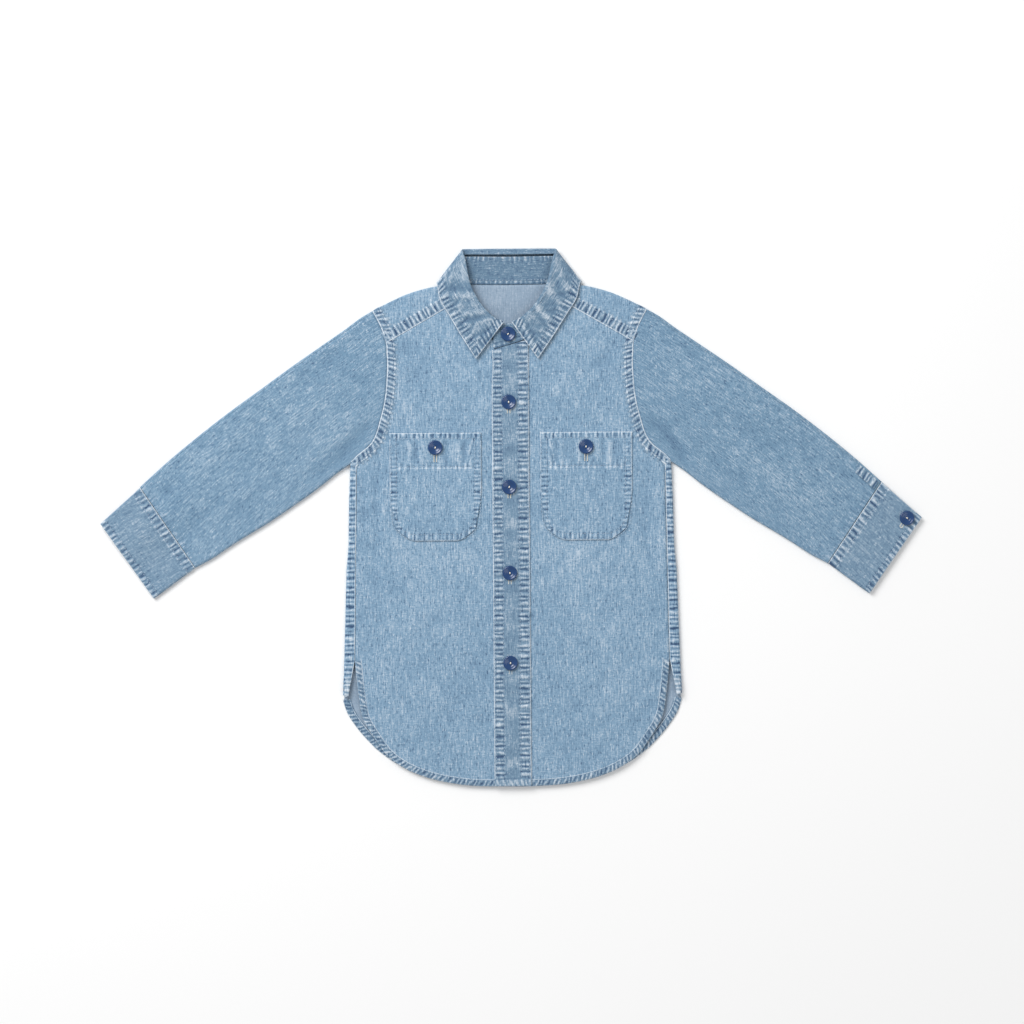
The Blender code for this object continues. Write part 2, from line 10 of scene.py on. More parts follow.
import bpy
import numpy as np
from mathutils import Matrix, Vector


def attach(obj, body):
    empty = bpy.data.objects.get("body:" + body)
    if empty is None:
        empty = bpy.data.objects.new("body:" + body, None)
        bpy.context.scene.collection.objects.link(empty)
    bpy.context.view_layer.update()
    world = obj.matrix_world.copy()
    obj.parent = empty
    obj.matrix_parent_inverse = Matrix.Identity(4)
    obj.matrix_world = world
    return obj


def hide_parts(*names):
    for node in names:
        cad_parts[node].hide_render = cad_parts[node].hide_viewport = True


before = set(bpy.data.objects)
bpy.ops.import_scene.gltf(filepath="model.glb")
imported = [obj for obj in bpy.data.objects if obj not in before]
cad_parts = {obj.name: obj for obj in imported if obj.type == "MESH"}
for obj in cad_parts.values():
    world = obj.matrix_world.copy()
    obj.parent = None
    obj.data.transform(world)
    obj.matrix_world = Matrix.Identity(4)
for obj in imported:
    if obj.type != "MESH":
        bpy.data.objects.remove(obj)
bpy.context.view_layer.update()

MM = 0.001
CLOTH = 1.0
LOWER, UPPER = 0.5, 3.9  # the middle of the layer on the table, and of the layer above it
ON_TOP = UPPER + 1.3  # the middle of what is sewn on the fronts
FOLD = (UPPER - LOWER) / 2  # the radius of a fold from one layer to the other
EDGE = FOLD + CLOTH / 2  # how far inside an outline its fold starts
LEFT, RIGHT = 1, -1  # the wearer's

# Lines in plan of the wearer's left half, each running upwards or outwards
SIDE_EDGE = ((161, -173.4), (160, -139), (158.5, -94), (157, -48), (155, -25), (154, 20), (152.7, 52.3))
BACK_HEM = ((0, -254.8), (51, -252.2), (84, -244.8), (115.4, -230.4), (130.2, -219))
BACK_VENT = ((130.2, -219), (141, -207.6), (150.1, -196.2), (157.2, -184.8), (161, -173.4))
FRONT_HEM = ((0, -255.6), (51.3, -253.2), (84.5, -245.6), (101.2, -238.5), (113, -231), (122, -222.8))
FRONT_VENT = ((122, -222.8), (133, -206.6), (141.3, -192.4), (146.5, -165.8), (149.6, -135.4))
SIDE_SEAM = ((149.6, -135.4), (149, -107), (148, -40), (146.9, 20), (146.5, 59.5))
ARMHOLE = (
    (146.5, 59.5), (132.3, 71.7), (123.1, 95.5), (118.6, 116.4),
    (117.2, 131.6), (116.5, 148.7), (117.0, 157.0)
)
YOKE_ARMHOLE = ((117.5, 166.7), (120, 175.5), (123.3, 183.8), (129.3, 195.3))
BACK_YOKE_SEAM_Y = 157.0
PIT_X = 150.5
VENT_TOP_Y = -168.0
SHOULDER = ((61.5, 222.0), (69, 220.8), (94, 214.2), (119.7, 202.8), (130.3, 197.3))
FRONT_NECK = ((13, 168), (24, 173), (34, 179), (48, 190), (56, 202))
NECK_SLOPE = 8 / 28
SLEEVE_TOP = (
    (130.3, 197.3), (140.6, 191.4), (156.3, 180), (172.9, 168.6), (206.2, 145.8), (238, 123), (269.8, 100.2),
    (299.3, 77.4), (326.8, 54.6), (352.4, 31.5)
)
SLEEVE_LOW = (
    (152.7, 52.3), (165.3, 43.2), (179.6, 31.8), (195.2, 20.4), (211.9, 9), (229, -2.4), (248, -13.8),
    (266.5, -25.2), (283.6, -36.6), (300.7, -45.7)
)
HAND_TOP = (390.5, -2.6)
HAND_LOW = (340.1, -74.8)
BUTTON_LINE = -1.6
BUTTONS_Y = (174.3, 109.7, 29.0, -52.7, -138.2)
POCKET_BUTTON_Y, POCKET_HOLE_Y = 66.9, 61.9
POCKET_X, POCKET_TOP, POCKET_WIDTH, POCKET_HEIGHT, POCKET_CORNER = 71.6, 80.8, 87.0, 102.6, 24.0
# From the middle of the back round to the front end: neck seam, top of the stand, roll and edge of the leaf
COLLAR = (
    ((0, 221.4, 1.8), (0, 247.6, 5.3), (0, 255.1, 3.1), (0, 211, 0.5)),
    ((20, 221.6, 1.8), (19, 247.8, 5.3), (20, 255.1, 3.1), (22, 211.3, 0.5)),
    ((40, 222.0, 1.8), (36, 248.0, 5.5), (37.5, 255.0, 3.2), (46, 213, 0.5)),
    ((54, 222.5, 1.9), (44.5, 247.8, 6.0), (42.6, 254.9, 4.6), (60, 216.2, 0.5)),
    ((59.5, 223.5, 2.2), (46.4, 247.4, 6.3), (44.0, 254.6, 6.0), (67.6, 219.2, 0.5)),
    ((61.2, 224.1, 2.8), (47.3, 247.0, 6.7), (44.4, 254.2, 7.3), (68.3, 223.3, 1.5)),
    ((61.6, 224.4, 3.4), (47.6, 246.5, 7.2), (44.3, 253.4, 8.6), (68.2, 223.9, 3.7)),
    ((61.2, 223.0, 4.2), (46.9, 244.6, 7.7), (43.4, 250.8, 9.7), (68.0, 222.5, 5.9)),
    ((60.2, 220.3, 4.4), (45.4, 242.0, 8.0), (42.2, 247.2, 10.2), (67.0, 217.6, 6.7)),
    ((56.2, 205.4, 4.4), (40.6, 220.0, 8.0), (36.9, 223.5, 10.2), (64.6, 207.0, 6.7)),
    ((47.4, 190.8, 4.5), (32.7, 204.2, 7.8), (29.1, 207.6, 10.0), (57.0, 194.5, 6.7)),
    ((33.4, 179.9, 4.9), (19.4, 189.3, 7.2), (15.7, 192.0, 9.4), (44.0, 173.0, 6.7)),
    ((15.8, 170.2, 5.2), (5.4, 184.9, 6.0), (3.7, 185.3, 8.4), (29.5, 150.8, 6.9)),
)
LAST_BEHIND, FIRST_IN_FRONT = 4, 8  # the leaf comes over the shoulder between these
# The stand's ends beyond them, each point as x and y at the neck seam and at the top
STAND_LEFT_END = ((2, 165.2, -2, 184.1), (-9, 162.0, -10, 182.0), (-15.5, 160.5, -15.8, 176.5))
STAND_RIGHT_END = ((2, 165.4, -2, 184.1), (-8, 162.5, -9, 182.0), (-13.4, 161.2, -13.8, 176.5))
COLLAR_LEAN = 0.027
BUTTON_LIFT = 2.9
CUFF_LAP, LAP_FOLD = 19.5, 0.85


# Curves and surfaces


def through(t, p, new_t):
    """The smooth curve through p at t, read at new_t."""
    t, p, new_t = np.asarray(t, float), np.asarray(p, float), np.asarray(new_t, float)
    slope = np.gradient(p, t, axis=0)
    i = np.clip(np.searchsorted(t, new_t, side="right") - 1, 0, len(t) - 2)
    shape = (-1,) + (1,) * (p.ndim - 1)
    h = (t[i + 1] - t[i]).reshape(shape)
    s = (new_t - t[i]).reshape(shape) / h
    return (
        (2 * s**3 - 3 * s**2 + 1) * p[i]
        + (s**3 - 2 * s**2 + s) * h * slope[i]
        + (3 * s**2 - 2 * s**3) * p[i + 1]
        + (s**3 - s**2) * h * slope[i + 1]
    )


def run_of(points):
    """The distance along a line to each of its points."""
    return np.concatenate([[0], np.cumsum(np.linalg.norm(np.diff(points, axis=0), axis=1))])


def at(points, fractions):
    """The smooth line through the points, read at fractions of its length."""
    p = np.array(points, float)
    t = run_of(p)
    return through(t / t[-1], p, fractions)


def dense(points, spacing):
    count = max(2, round(run_of(np.array(points, float))[-1] / spacing))
    return at(points, np.linspace(0, 1, count + 1))


def joined(*lines):
    return np.concatenate([lines[0]] + [line[1:] for line in lines[1:]])


def moved(points, distance):
    """The line moved sideways to its left."""
    along = np.gradient(points, axis=0)
    along /= np.linalg.norm(along, axis=1)[:, None]
    return points + distance * np.stack([-along[:, 1], along[:, 0]], axis=1)


def steps(points):
    run = run_of(points)
    return run / run[-1]


def fill(bottom, top, left, right):
    """Rows of points between four edges, the rows from left to right and the first row along the bottom."""
    u = ((steps(bottom) + steps(top)) / 2)[None, :, None]
    v = ((steps(left) + steps(right)) / 2)[:, None, None]
    across = (1 - u) * left[:, None] + u * right[:, None]
    upwards = (1 - v) * bottom[None] + v * top[None]
    corners = (1 - v) * ((1 - u) * bottom[0] + u * bottom[-1]) + v * ((1 - u) * top[0] + u * top[-1])
    return across + upwards - corners


def raised(plan, height):
    plan = np.asarray(plan, float)
    return np.concatenate([plan, np.broadcast_to(height, plan.shape[:-1])[..., None]], axis=-1)


def ramp(value, start, end):
    """0 up to start and 1 from end on, with a smooth rise between. start may be the larger of the two."""
    s = np.clip((np.asarray(value, float) - start) / (end - start), 0, 1)
    return s * s * (3 - 2 * s)


def bump(value, centre, width):
    return np.exp(-(((value - centre) / width) ** 2))


def line_of(x, y):
    """A line in plan from its x and its y, either of which may be one number."""
    return np.stack(np.broadcast_arrays(np.asarray(x, float), y), axis=-1)


def x_at(points, y):
    p = np.array(points, float)
    return np.interp(y, p[:, 1], p[:, 0])


def sided(points, side):
    return points * np.array([side, 1, 1])


def fold(start, outward, low, high, degrees):
    """Points round a fold between two heights, -90 degrees being its bottom and 90 its top."""
    radius = (high - low) / 2
    turn = np.radians(np.asarray(degrees, float))
    plan = np.asarray(start) + np.outer(radius * np.cos(turn), outward)
    return raised(plan, (high + low) / 2 + radius * np.sin(turn))


def normals(grid):
    """The unit normals of a grid of points, up where its rows run to +X and its columns to +Y."""
    across = np.gradient(grid, axis=1)
    along = np.gradient(grid, axis=0)
    n = np.cross(across, along)
    return n / np.maximum(np.linalg.norm(n, axis=-1), 1e-9)[..., None]


# What crumples: slow waves, creases and the puckers of seams


def wave(s, period, seed):
    """An irregular smooth wave from about -1 to 1."""
    turn = 2 * math.pi * np.asarray(s, float) / period
    faster = 0.7 * np.sin(turn * 1.618 + 2.3 * seed)
    slower = 0.5 * np.sin(turn * 0.577 + 4.1 * seed)
    return (np.sin(turn + seed) + faster + slower) / 1.9


def puckers(s, t, period, seed, slant=0.0):
    """The pleats that a shrunk seam pulls across itself, -1 in their valleys and 1 on their ridges."""
    phase = 2 * math.pi * (s + slant * t) / period + 1.5 * wave(s, 3.3 * period, seed) + 0.6 * wave(
        s + 0.7 * t, 2.2 * period, seed + 2
    )
    strength = 0.75 + 0.35 * wave(s, 1.9 * period, seed + 5)
    ridge = np.sin(phase)
    return strength * (ridge - 0.18 * np.cos(2 * phase))


def worn(ridge):
    """The wear of a pucker: indigo kept in its narrow valley, and its ridge rubbed pale."""
    return 0.62 * ramp(ridge, 0.1, 0.95) - 1.15 * ramp(ridge, -0.15, -0.85)


def crease(plan, start, end, width, depth, curve=0.0):
    """A soft crease between two points: a trough where depth is negative, fading at both ends."""
    start, end = np.array(start, float), np.array(end, float)
    way = end - start
    t = ((plan - start) @ way) / (way @ way)
    inside = np.clip(t, 0, 1)
    side = np.array([-way[1], way[0]]) / np.linalg.norm(way)
    middle = start + inside[..., None] * way + (4 * curve * inside * (1 - inside))[..., None] * side
    near = np.linalg.norm(plan - middle, axis=-1)
    return depth * np.exp(-((near / width) ** 2)) * ramp(inside, -0.15, 0.3) * ramp(inside, 1.15, 0.7)


# Each crease: start, end, width, depth (a trough below 0) and how far its middle bows sideways
BODY_CREASES = (
    ((-128, 58), (-131, -60), 4.0, -0.55, 2), ((-139, 48), (-140, -20), 3.5, -0.5, -1),
    ((-121, 40), (-124, -10), 3.0, 0.4, 1), ((131, 52), (130, -50), 4.0, -0.5, -2),
    ((141, 40), (142, -70), 3.5, 0.4, 1), ((123, 30), (121, -20), 3.0, -0.35, 0),
    ((-104, 176), (-88, 120), 9, -0.4, 3), ((101, 170), (84, 118), 8, -0.35, -3),
    ((-112, 150), (-100, 100), 6, 0.3, 0), ((60, 150), (38, 112), 8, 0.25, 4),
    ((-60, -60), (-120, -110), 12, 0.35, 5), ((52, -75), (118, -120), 13, 0.3, -4),
    ((-30, -120), (-70, -205), 14, -0.3, 3), ((34, -130), (80, -210), 12, -0.3, -3),
    ((-110, -150), (-60, -185), 10, 0.3, 4), ((112, -160), (70, -200), 10, 0.3, -4),
    ((-24, 130), (-30, 70), 5, 0.3, 0), ((26, 95), (24, 20), 5, 0.25, 1),
)
LEFT_SLEEVE_CREASES = (
    ((131, 96), (171, 50), 7.0, -1.5, 2), ((136, 103), (178, 56), 5.5, 0.6, 2),
    ((150, 92), (196, 44), 8, -0.35, 4), ((150, 172), (190, 138), 6, -0.45, 2),
    ((139, 160), (165, 128), 7, 0.3, 0), ((171, 140), (230, 92), 9, 0.35, 5),
    ((200, 110), (262, 60), 10, -0.4, -4), ((226, 52), (286, 6), 8, 0.35, 4),
    ((240, 96), (300, 44), 8, -0.3, 3), ((185, 66), (232, 26), 7, -0.4, -3),
    ((262, 60), (322, 14), 9, 0.3, -3), ((300, 30), (338, -4), 6, -0.4, 1),
    ((318, 44), (348, 20), 5, -0.45, 0), ((306, -8), (322, -26), 5, 0.35, 0),
)
RIGHT_SLEEVE_CREASES = (
    ((126, 92), (166, 58), 6.0, -0.9, 2), ((134, 100), (186, 66), 8, 0.35, 3),
    ((140, 74), (192, 38), 5, -0.7, -2), ((146, 84), (210, 40), 7, 0.4, 4),
    ((148, 168), (196, 132), 8, -0.35, 2), ((136, 130), (160, 104), 6, -0.35, 0),
    ((180, 120), (244, 74), 10, 0.35, -5), ((214, 98), (276, 48), 9, -0.4, 4),
    ((232, 40), (288, 0), 8, 0.35, 3), ((250, 84), (310, 36), 8, 0.3, 3),
    ((266, 30), (318, -10), 8, -0.35, -3), ((312, 40), (344, 12), 6, -0.45, 1),
    ((298, -2), (324, -30), 5, -0.35, 0),
)


def ripple(plan, scale=1.0):
    """The low unevenness of cloth that has been washed and smoothed by hand."""
    x, y = plan[..., 0], plan[..., 1]
    return scale * (
        0.16 * wave(x + 0.35 * y, 47, 1.3) * wave(y - 0.2 * x, 83, 0.4) + 0.1 * wave(0.8 * x - y, 31, 2.2)
        + 0.06 * wave(x + 0.1 * y, 17, 3.1) * wave(y, 39, 5.0)
    )


def relief(plan):
    """How far the body's upper layer stands above its own level."""
    height = ripple(plan)
    for start, end, width, depth, curve in BODY_CREASES:
        height = height + crease(plan, start, end, width, depth, curve)
    return height


# Meshes


def object_of(name, points, faces, looks):
    """A smooth object from points in millimetres."""
    mesh = bpy.data.meshes.new(name)
    mesh.from_pydata((np.asarray(points) * MM).tolist(), [], faces)
    for look in looks:
        mesh.materials.append(look)
    mesh.shade_smooth()
    made = bpy.data.objects.new(name, mesh)
    bpy.context.scene.collection.objects.link(made)
    return made


def piece(name, grids, looks, thickness=CLOTH, top_up=True, node=None):
    """An object from grids of (points, fabric coordinates, wear and painted shade). Its right side has
    looks[0], its wrong side looks[-1]. top_up says that the first square of each grid shows its right side
    upwards."""
    points, faces, fabric, wear_and_shade = [], [], [], []
    base = 0
    for p, cloth_at, wear_and_shade_at in grids:
        rows, columns = p.shape[:2]
        index = np.arange(rows * columns).reshape(rows, columns) + base
        quads = np.stack([index[:-1, :-1], index[:-1, 1:], index[1:, 1:], index[1:, :-1]], axis=-1)
        across, along = p[0, 1] - p[0, 0], p[1, 0] - p[0, 0]
        if (np.cross(across, along)[2] > 0) != top_up:
            quads = quads[..., ::-1]
        faces.append(quads.reshape(-1, 4))
        points.append(p.reshape(-1, 3))
        fabric.append(np.broadcast_to(cloth_at, (rows, columns, 2)).reshape(-1, 2))
        wear_and_shade.append(np.broadcast_to(wear_and_shade_at, (rows, columns)).reshape(-1))
        base += rows * columns
    faces, fabric, wear_and_shade = np.concatenate(faces), np.concatenate(fabric), np.concatenate(wear_and_shade)
    made = object_of(f"{name}_cloth" if node else name, np.concatenate(points), faces.tolist(), looks)
    uv = made.data.uv_layers.new(name="fabric")
    uv.data.foreach_set("uv", (fabric[faces.reshape(-1)] * 0.01).ravel())
    # This colour attribute holds the cloth's real wear, and also painted shade at the foot of raised edges and
    # in creases, and painted light on rises
    made.data.attributes.new("wear_and_shade", "FLOAT", "POINT").data.foreach_set("value", wear_and_shade.astype(np.float32))
    if thickness:
        solid = made.modifiers.new("thickness", "SOLIDIFY")
        solid.thickness = thickness * MM
        solid.offset = 0
        solid.material_offset = len(looks) - 1
    settle(made, node)
    return made


def settle(made, node=None):
    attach(made, "root")
    if node:
        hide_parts(node)


# Seams that lie on a panel


class Threads:
    """Collects the stitches of a group of seams and makes them one object."""

    def __init__(self, name):
        self.name, self.points, self.faces = name, [], []

    def sew(self, line, up, pitch=3.1, stitch=2.3, radius=0.24, sink=0.05):
        """Stitches along a line of points, each lying on the cloth whose upward direction is up."""
        run = run_of(line)
        up = np.broadcast_to(up, line.shape)
        starts = np.arange(0.4, run[-1] - stitch, pitch)
        for start in starts:
            where = start + stitch * np.array((0, 0.18, 0.82, 1))
            centre = np.stack([np.interp(where, run, line[:, k]) for k in range(3)], axis=1)
            lift = np.stack([np.interp(where, run, up[:, k]) for k in range(3)], axis=1)
            lift /= np.linalg.norm(lift, axis=1)[:, None]
            way = centre[-1] - centre[0]
            side = np.cross(lift, way / np.linalg.norm(way))
            thick = radius * np.array((0.35, 1, 1, 0.35))[:, None]
            centre = centre + lift * (thick - sink - np.array((0.3, 0, 0, 0.3))[:, None])
            ring = [centre + way_out * thick for way_out in (side, lift, -side, -lift)]
            base = len(self.points)
            for k in range(4):
                self.points.extend(r[k] for r in ring)
            for k in range(3):
                for j in range(4):
                    a, b = base + 4 * k + j, base + 4 * k + (j + 1) % 4
                    self.faces.append((a, b, b + 4, a + 4))
            self.faces.append(tuple(base + j for j in (3, 2, 1, 0)))
            self.faces.append(tuple(base + 12 + j for j in range(4)))

    def finish(self, look):
        made = object_of(self.name, self.points, self.faces, (look,))
        settle(made)
        return made


def seam_section(t, width):
    """Height over the panel, and wear and painted shade, across a felled seam whose sharp edge is at 0."""
    rise = ramp(t, -0.3, 0.1) * ramp(t, width + 1.4, width - 0.4)
    hidden = -0.45 * ramp(t, 0.0, -0.5) - 0.4 * ramp(t, width + 3.6, width + 4.6)
    rows = bump(t, 1.3, 0.45) + bump(t, width - 1.2, 0.45)
    height = 0.5 * rise - 0.22 * rows + hidden
    # Painted shade: the dark line at t -0.5 lies on the panel at the foot of the seam's raised edge. The pale
    # lines at the edges are rubbed wear
    wear_and_shade = 1.0 * bump(t, 0.25, 0.5) - 0.9 * bump(t, -0.5, 0.4) + 0.5 * bump(t, width - 0.1, 0.5) - 0.35 * rows
    return height, wear_and_shade


def puckered(s, t, width, seed, period, depth, end, slant=0.0, strength=1.0):
    """Height over the panel, and wear and painted shade, of a felled seam's grid. Its puckers die out by end
    past its width.
    """
    height, wear_and_shade = seam_section(t[None], width)
    ridge = puckers(s[:, None], t[None], period, seed, slant)
    reach = ramp(t, 0.1, 1.2) * ramp(t, width + end, width - 0.8)
    height = height + depth * strength * ridge * reach[None]
    wear_and_shade = wear_and_shade + strength * worn(ridge) * reach[None] + 0.12 * wave(s, 23, seed)[:, None]
    return height, wear_and_shade


def felled(line, width, z, seed, period=4.7, facing=1, strength=1.0, threads=None):
    """A felled seam along a line in plan, lying to its left on a panel whose middle is at z. facing is 1 for
    cloth that shows upwards and -1 for the layer below."""
    t = np.array(
        (-0.8, -0.35, 0, 0.35, 0.8, 1.3, 1.9, 2.8, 3.8, 4.9, 5.9, 6.7, 7.2, 7.9, 8.8, 9.9, 11.3, 12.6)
    )
    t = np.where(t > 2, 2 + (t - 2) * (width + 4.6 - 2) / 10.6, t)
    s = run_of(line)
    plan = line[:, None] + (moved(line, 1) - line)[:, None] * t[None, :, None]
    height, wear_and_shade = puckered(s, t, width, seed, period, 0.34, 4.4, strength=strength)
    lift = relief(plan) if facing > 0 else 0
    top = z + lift + facing * (CLOTH / 2 + height - 0.22)
    if threads:
        for row in (1.3, width - 1.2):
            k = int(np.argmin(abs(t - row)))
            path = raised(plan[:, k], top[:, k] + facing * 0.22)
            threads.sew(path, (0, 0, facing))
    return raised(plan, top), plan, wear_and_shade


def hem(line, z, seed, facing=1, threads=None, slant=-0.55, floor=None):
    """A narrow turned hem along a line in plan, its panel to its left: over, round the edge and under."""
    t = np.array((7.4, 6.8, 6.3, 5.9, 5.3, 4.4, 3.4, 2.4, 1.5, 0.9, 0.35, 0.05, 0.35, 0.9, 2.4, 4.2, 5.6))
    level = np.array(
        (0.1, 0.42, 0.62, 0.5, 0.68, 0.78, 0.82, 0.8, 0.72, 0.6, 0.4, 0, -0.4, -0.6, -0.66, -0.66, -0.5)
    )
    s = run_of(line)
    plan = line[:, None] + (moved(line, 1) - line)[:, None] * t[None, :, None]
    ridge = puckers(s[:, None], t[None], 4.4, seed, slant)
    upper = np.arange(len(t)) <= 11
    reach = ramp(t, 6.6, 5.0) * upper
    lift = relief(plan) if facing > 0 else 0
    top = z + lift + facing * (level[None] - 0.15 + 0.3 * ridge * reach[None])
    # The hem's inner edge is rubbed pale and its stitch groove is darker. The dark line on the panel at the
    # foot of the edge is painted shade
    inner_edge_and_shadow = 0.9 * bump(t, 6.35, 0.4) - 0.8 * bump(t, 5.75, 0.3) - 0.7 * bump(t, 7.3, 0.5)
    wear_and_shade = worn(ridge) * reach[None] + inner_edge_and_shadow * upper
    wear_and_shade = wear_and_shade + 0.3 * bump(t, 0.1, 0.5) + 0.15 * wave(s, 29, seed)[:, None]
    if floor is not None:
        top = np.maximum(top, floor + 0.2)
    if threads:
        k = 3
        threads.sew(raised(plan[:, k], top[:, k] + facing * 0.2), (0, 0, facing))
    return raised(plan, top), plan, wear_and_shade


# Materials


def shader_of(name):
    made = bpy.data.materials.new(name)
    made.use_nodes = True
    nodes = made.node_tree.nodes
    return made, nodes, made.node_tree.links, nodes["Principled BSDF"]


def denim(name, base, dark, light, contrast=1.0, bump_strength=0.35):
    """Washed denim: slubs as streaks along the fabric's second coordinate, twill, and the worn seam ridges,
    painted shade and painted highlights of the mesh's colour attribute.
    """
    made, nodes, links, shader = shader_of(name)

    def node(kind, **settings):
        n = nodes.new(kind)
        for key, value in settings.items():
            setattr(n, key, value)
        return n

    def noise(scale, detail, stretch, rough=0.55):
        mapping = node("ShaderNodeMapping")
        mapping.inputs["Scale"].default_value = stretch
        links.new(fabric.outputs["UV"], mapping.inputs["Vector"])
        texture = node("ShaderNodeTexNoise")
        texture.inputs["Scale"].default_value = scale
        texture.inputs["Detail"].default_value = detail
        texture.inputs["Roughness"].default_value = rough
        links.new(mapping.outputs["Vector"], texture.inputs["Vector"])
        return texture.outputs["Fac"]

    def span(value, low, high, to_low, to_high):
        n = node("ShaderNodeMapRange", clamp=True)
        n.inputs["From Min"].default_value = low
        n.inputs["From Max"].default_value = high
        n.inputs["To Min"].default_value = to_low
        n.inputs["To Max"].default_value = to_high
        links.new(value, n.inputs["Value"])
        return n.outputs["Result"]

    def math_node(operation, a, b):
        n = node("ShaderNodeMath", operation=operation)
        for socket, value in zip(n.inputs, (a, b)):
            if isinstance(value, (int, float)):
                socket.default_value = value
            else:
                links.new(value, socket)
        return n.outputs[0]

    def mix(amount, a, b):
        n = node("ShaderNodeMix", data_type="RGBA")
        links.new(amount, n.inputs["Factor"])
        for socket, value in ((n.inputs[6], a), (n.inputs[7], b)):
            if isinstance(value, tuple):
                socket.default_value = (*value, 1)
            else:
                links.new(value, socket)
        return n.outputs[2]

    fabric = node("ShaderNodeUVMap", uv_map="fabric")
    # This attribute holds the worn tone and also painted shade and painted light: below 0 it darkens towards
    # dark, above 0 it pales towards light
    worn = node("ShaderNodeAttribute", attribute_name="wear_and_shade", attribute_type="GEOMETRY")
    streaks = noise(1, 3, (75, 7, 1))
    dashes = noise(1, 2, (95, 22, 1), 0.6)
    flecks = noise(1, 2, (120, 34, 1), 0.6)
    cross = noise(1, 2, (26, 90, 1))
    clouds = noise(1, 3, (2.2, 1.7, 1))
    blotches = noise(1, 2, (9, 6, 1))

    tone = math_node("ADD", span(streaks, 0.3, 0.7, -0.3, 0.3), span(clouds, 0.3, 0.7, -0.07, 0.07))
    tone = math_node("ADD", tone, span(blotches, 0.3, 0.7, -0.08, 0.08))
    tone = math_node("ADD", tone, span(cross, 0.3, 0.7, -0.2, 0.2))
    tone = math_node("ADD", tone, span(dashes, 0.32, 0.44, -0.75, 0))
    tone = math_node("ADD", tone, span(flecks, 0.58, 0.7, 0, 0.6))
    tone = math_node("MULTIPLY", tone, contrast)
    tone = math_node("ADD", tone, worn.outputs["Fac"])
    shade = mix(span(tone, -1.15, 0, 1, 0), base, dark)
    colour = mix(span(tone, 0, 1.1, 0, 1), shade, light)
    links.new(colour, shader.inputs["Base Color"])

    twill = node("ShaderNodeTexWave", wave_type="BANDS", bands_direction="DIAGONAL")
    mapping = node("ShaderNodeMapping")
    mapping.inputs["Scale"].default_value = (110, 110, 1)
    links.new(fabric.outputs["UV"], mapping.inputs["Vector"])
    links.new(mapping.outputs["Vector"], twill.inputs["Vector"])
    twill.inputs["Scale"].default_value = 0.35
    twill.inputs["Distortion"].default_value = 1.2
    twill.inputs["Detail"].default_value = 1.0
    weave = math_node("ADD", math_node("MULTIPLY", twill.outputs["Fac"], 0.35), dashes)
    weave = math_node("ADD", weave, math_node("MULTIPLY", cross, 0.6))
    relief_node = node("ShaderNodeBump")
    relief_node.inputs["Strength"].default_value = bump_strength
    relief_node.inputs["Distance"].default_value = 0.0004
    links.new(weave, relief_node.inputs["Height"])
    links.new(relief_node.outputs["Normal"], shader.inputs["Normal"])
    shader.inputs["Roughness"].default_value = 0.9
    shader.inputs["Specular IOR Level"].default_value = 0.25
    shader.inputs["Sheen Weight"].default_value = 0.12
    shader.inputs["Sheen Roughness"].default_value = 0.6
    return made


def plain(name, colour, roughness, specular=0.5, coat=0.0, speckle=0.0, scale=400):
    made, nodes, links, shader = shader_of(name)
    texture = nodes.new("ShaderNodeTexNoise")
    texture.inputs["Scale"].default_value = scale
    texture.inputs["Detail"].default_value = 3
    blend = nodes.new("ShaderNodeMix")
    blend.data_type = "RGBA"
    blend.inputs[6].default_value = (*[c * (1 - speckle) for c in colour], 1)
    blend.inputs[7].default_value = (*[min(1, c * (1 + speckle)) for c in colour], 1)
    where = nodes.new("ShaderNodeTexCoord")
    links.new(where.outputs["Object"], texture.inputs["Vector"])
    links.new(texture.outputs["Fac"], blend.inputs["Factor"])
    links.new(blend.outputs[2], shader.inputs["Base Color"])
    shader.inputs["Roughness"].default_value = roughness
    shader.inputs["Specular IOR Level"].default_value = specular
    shader.inputs["Coat Weight"].default_value = coat
    return made


def srgb(red, green, blue):
    return tuple(((c / 255 + 0.055) / 1.055) ** 2.4 for c in (red, green, blue))


DARK = srgb(52, 78, 112)
PALE = srgb(222, 230, 238)
BODY = denim("denim_body", srgb(125, 157, 183), DARK, PALE)
SLEEVE = denim("denim_sleeves", srgb(114, 147, 173), DARK, PALE)
TRIM = denim("denim_trim", srgb(115, 144, 168), DARK, PALE, contrast=0.9)
COLLAR_LOOK = denim("denim_collar", srgb(106, 135, 159), DARK, PALE, contrast=0.9)
WRONG = denim("denim_wrong_side", srgb(140, 160, 180), srgb(90, 110, 134), PALE, contrast=0.5)
THREAD = plain("sewing_thread", srgb(176, 196, 214), 0.8, 0.2, speckle=0.08)
CREAM = plain("buttonhole_thread", srgb(232, 230, 220), 0.75, 0.2, speckle=0.06)
BUTTON_LOOK = plain("blue_button", srgb(12, 58, 108), 0.25, 0.5, coat=0.3, speckle=0.25, scale=260)


# Body


def neck_y(x):
    return FRONT_NECK[0][1] - (FRONT_NECK[0][0] - x) * NECK_SLOPE


def armhole_near_pit(x):
    return np.interp(x, (146.5, 147.7, 150.3, 152.7), (59.5, 58.4, 55.6, 52.3))


def beside(outer, x, low, high):
    """The straight edge at x whose points rise from low to high in step with an outer edge's."""
    rise = (outer[:, 1] - outer[0, 1]) / (outer[-1, 1] - outer[0, 1])
    return line_of(x, low + rise * (high - low))


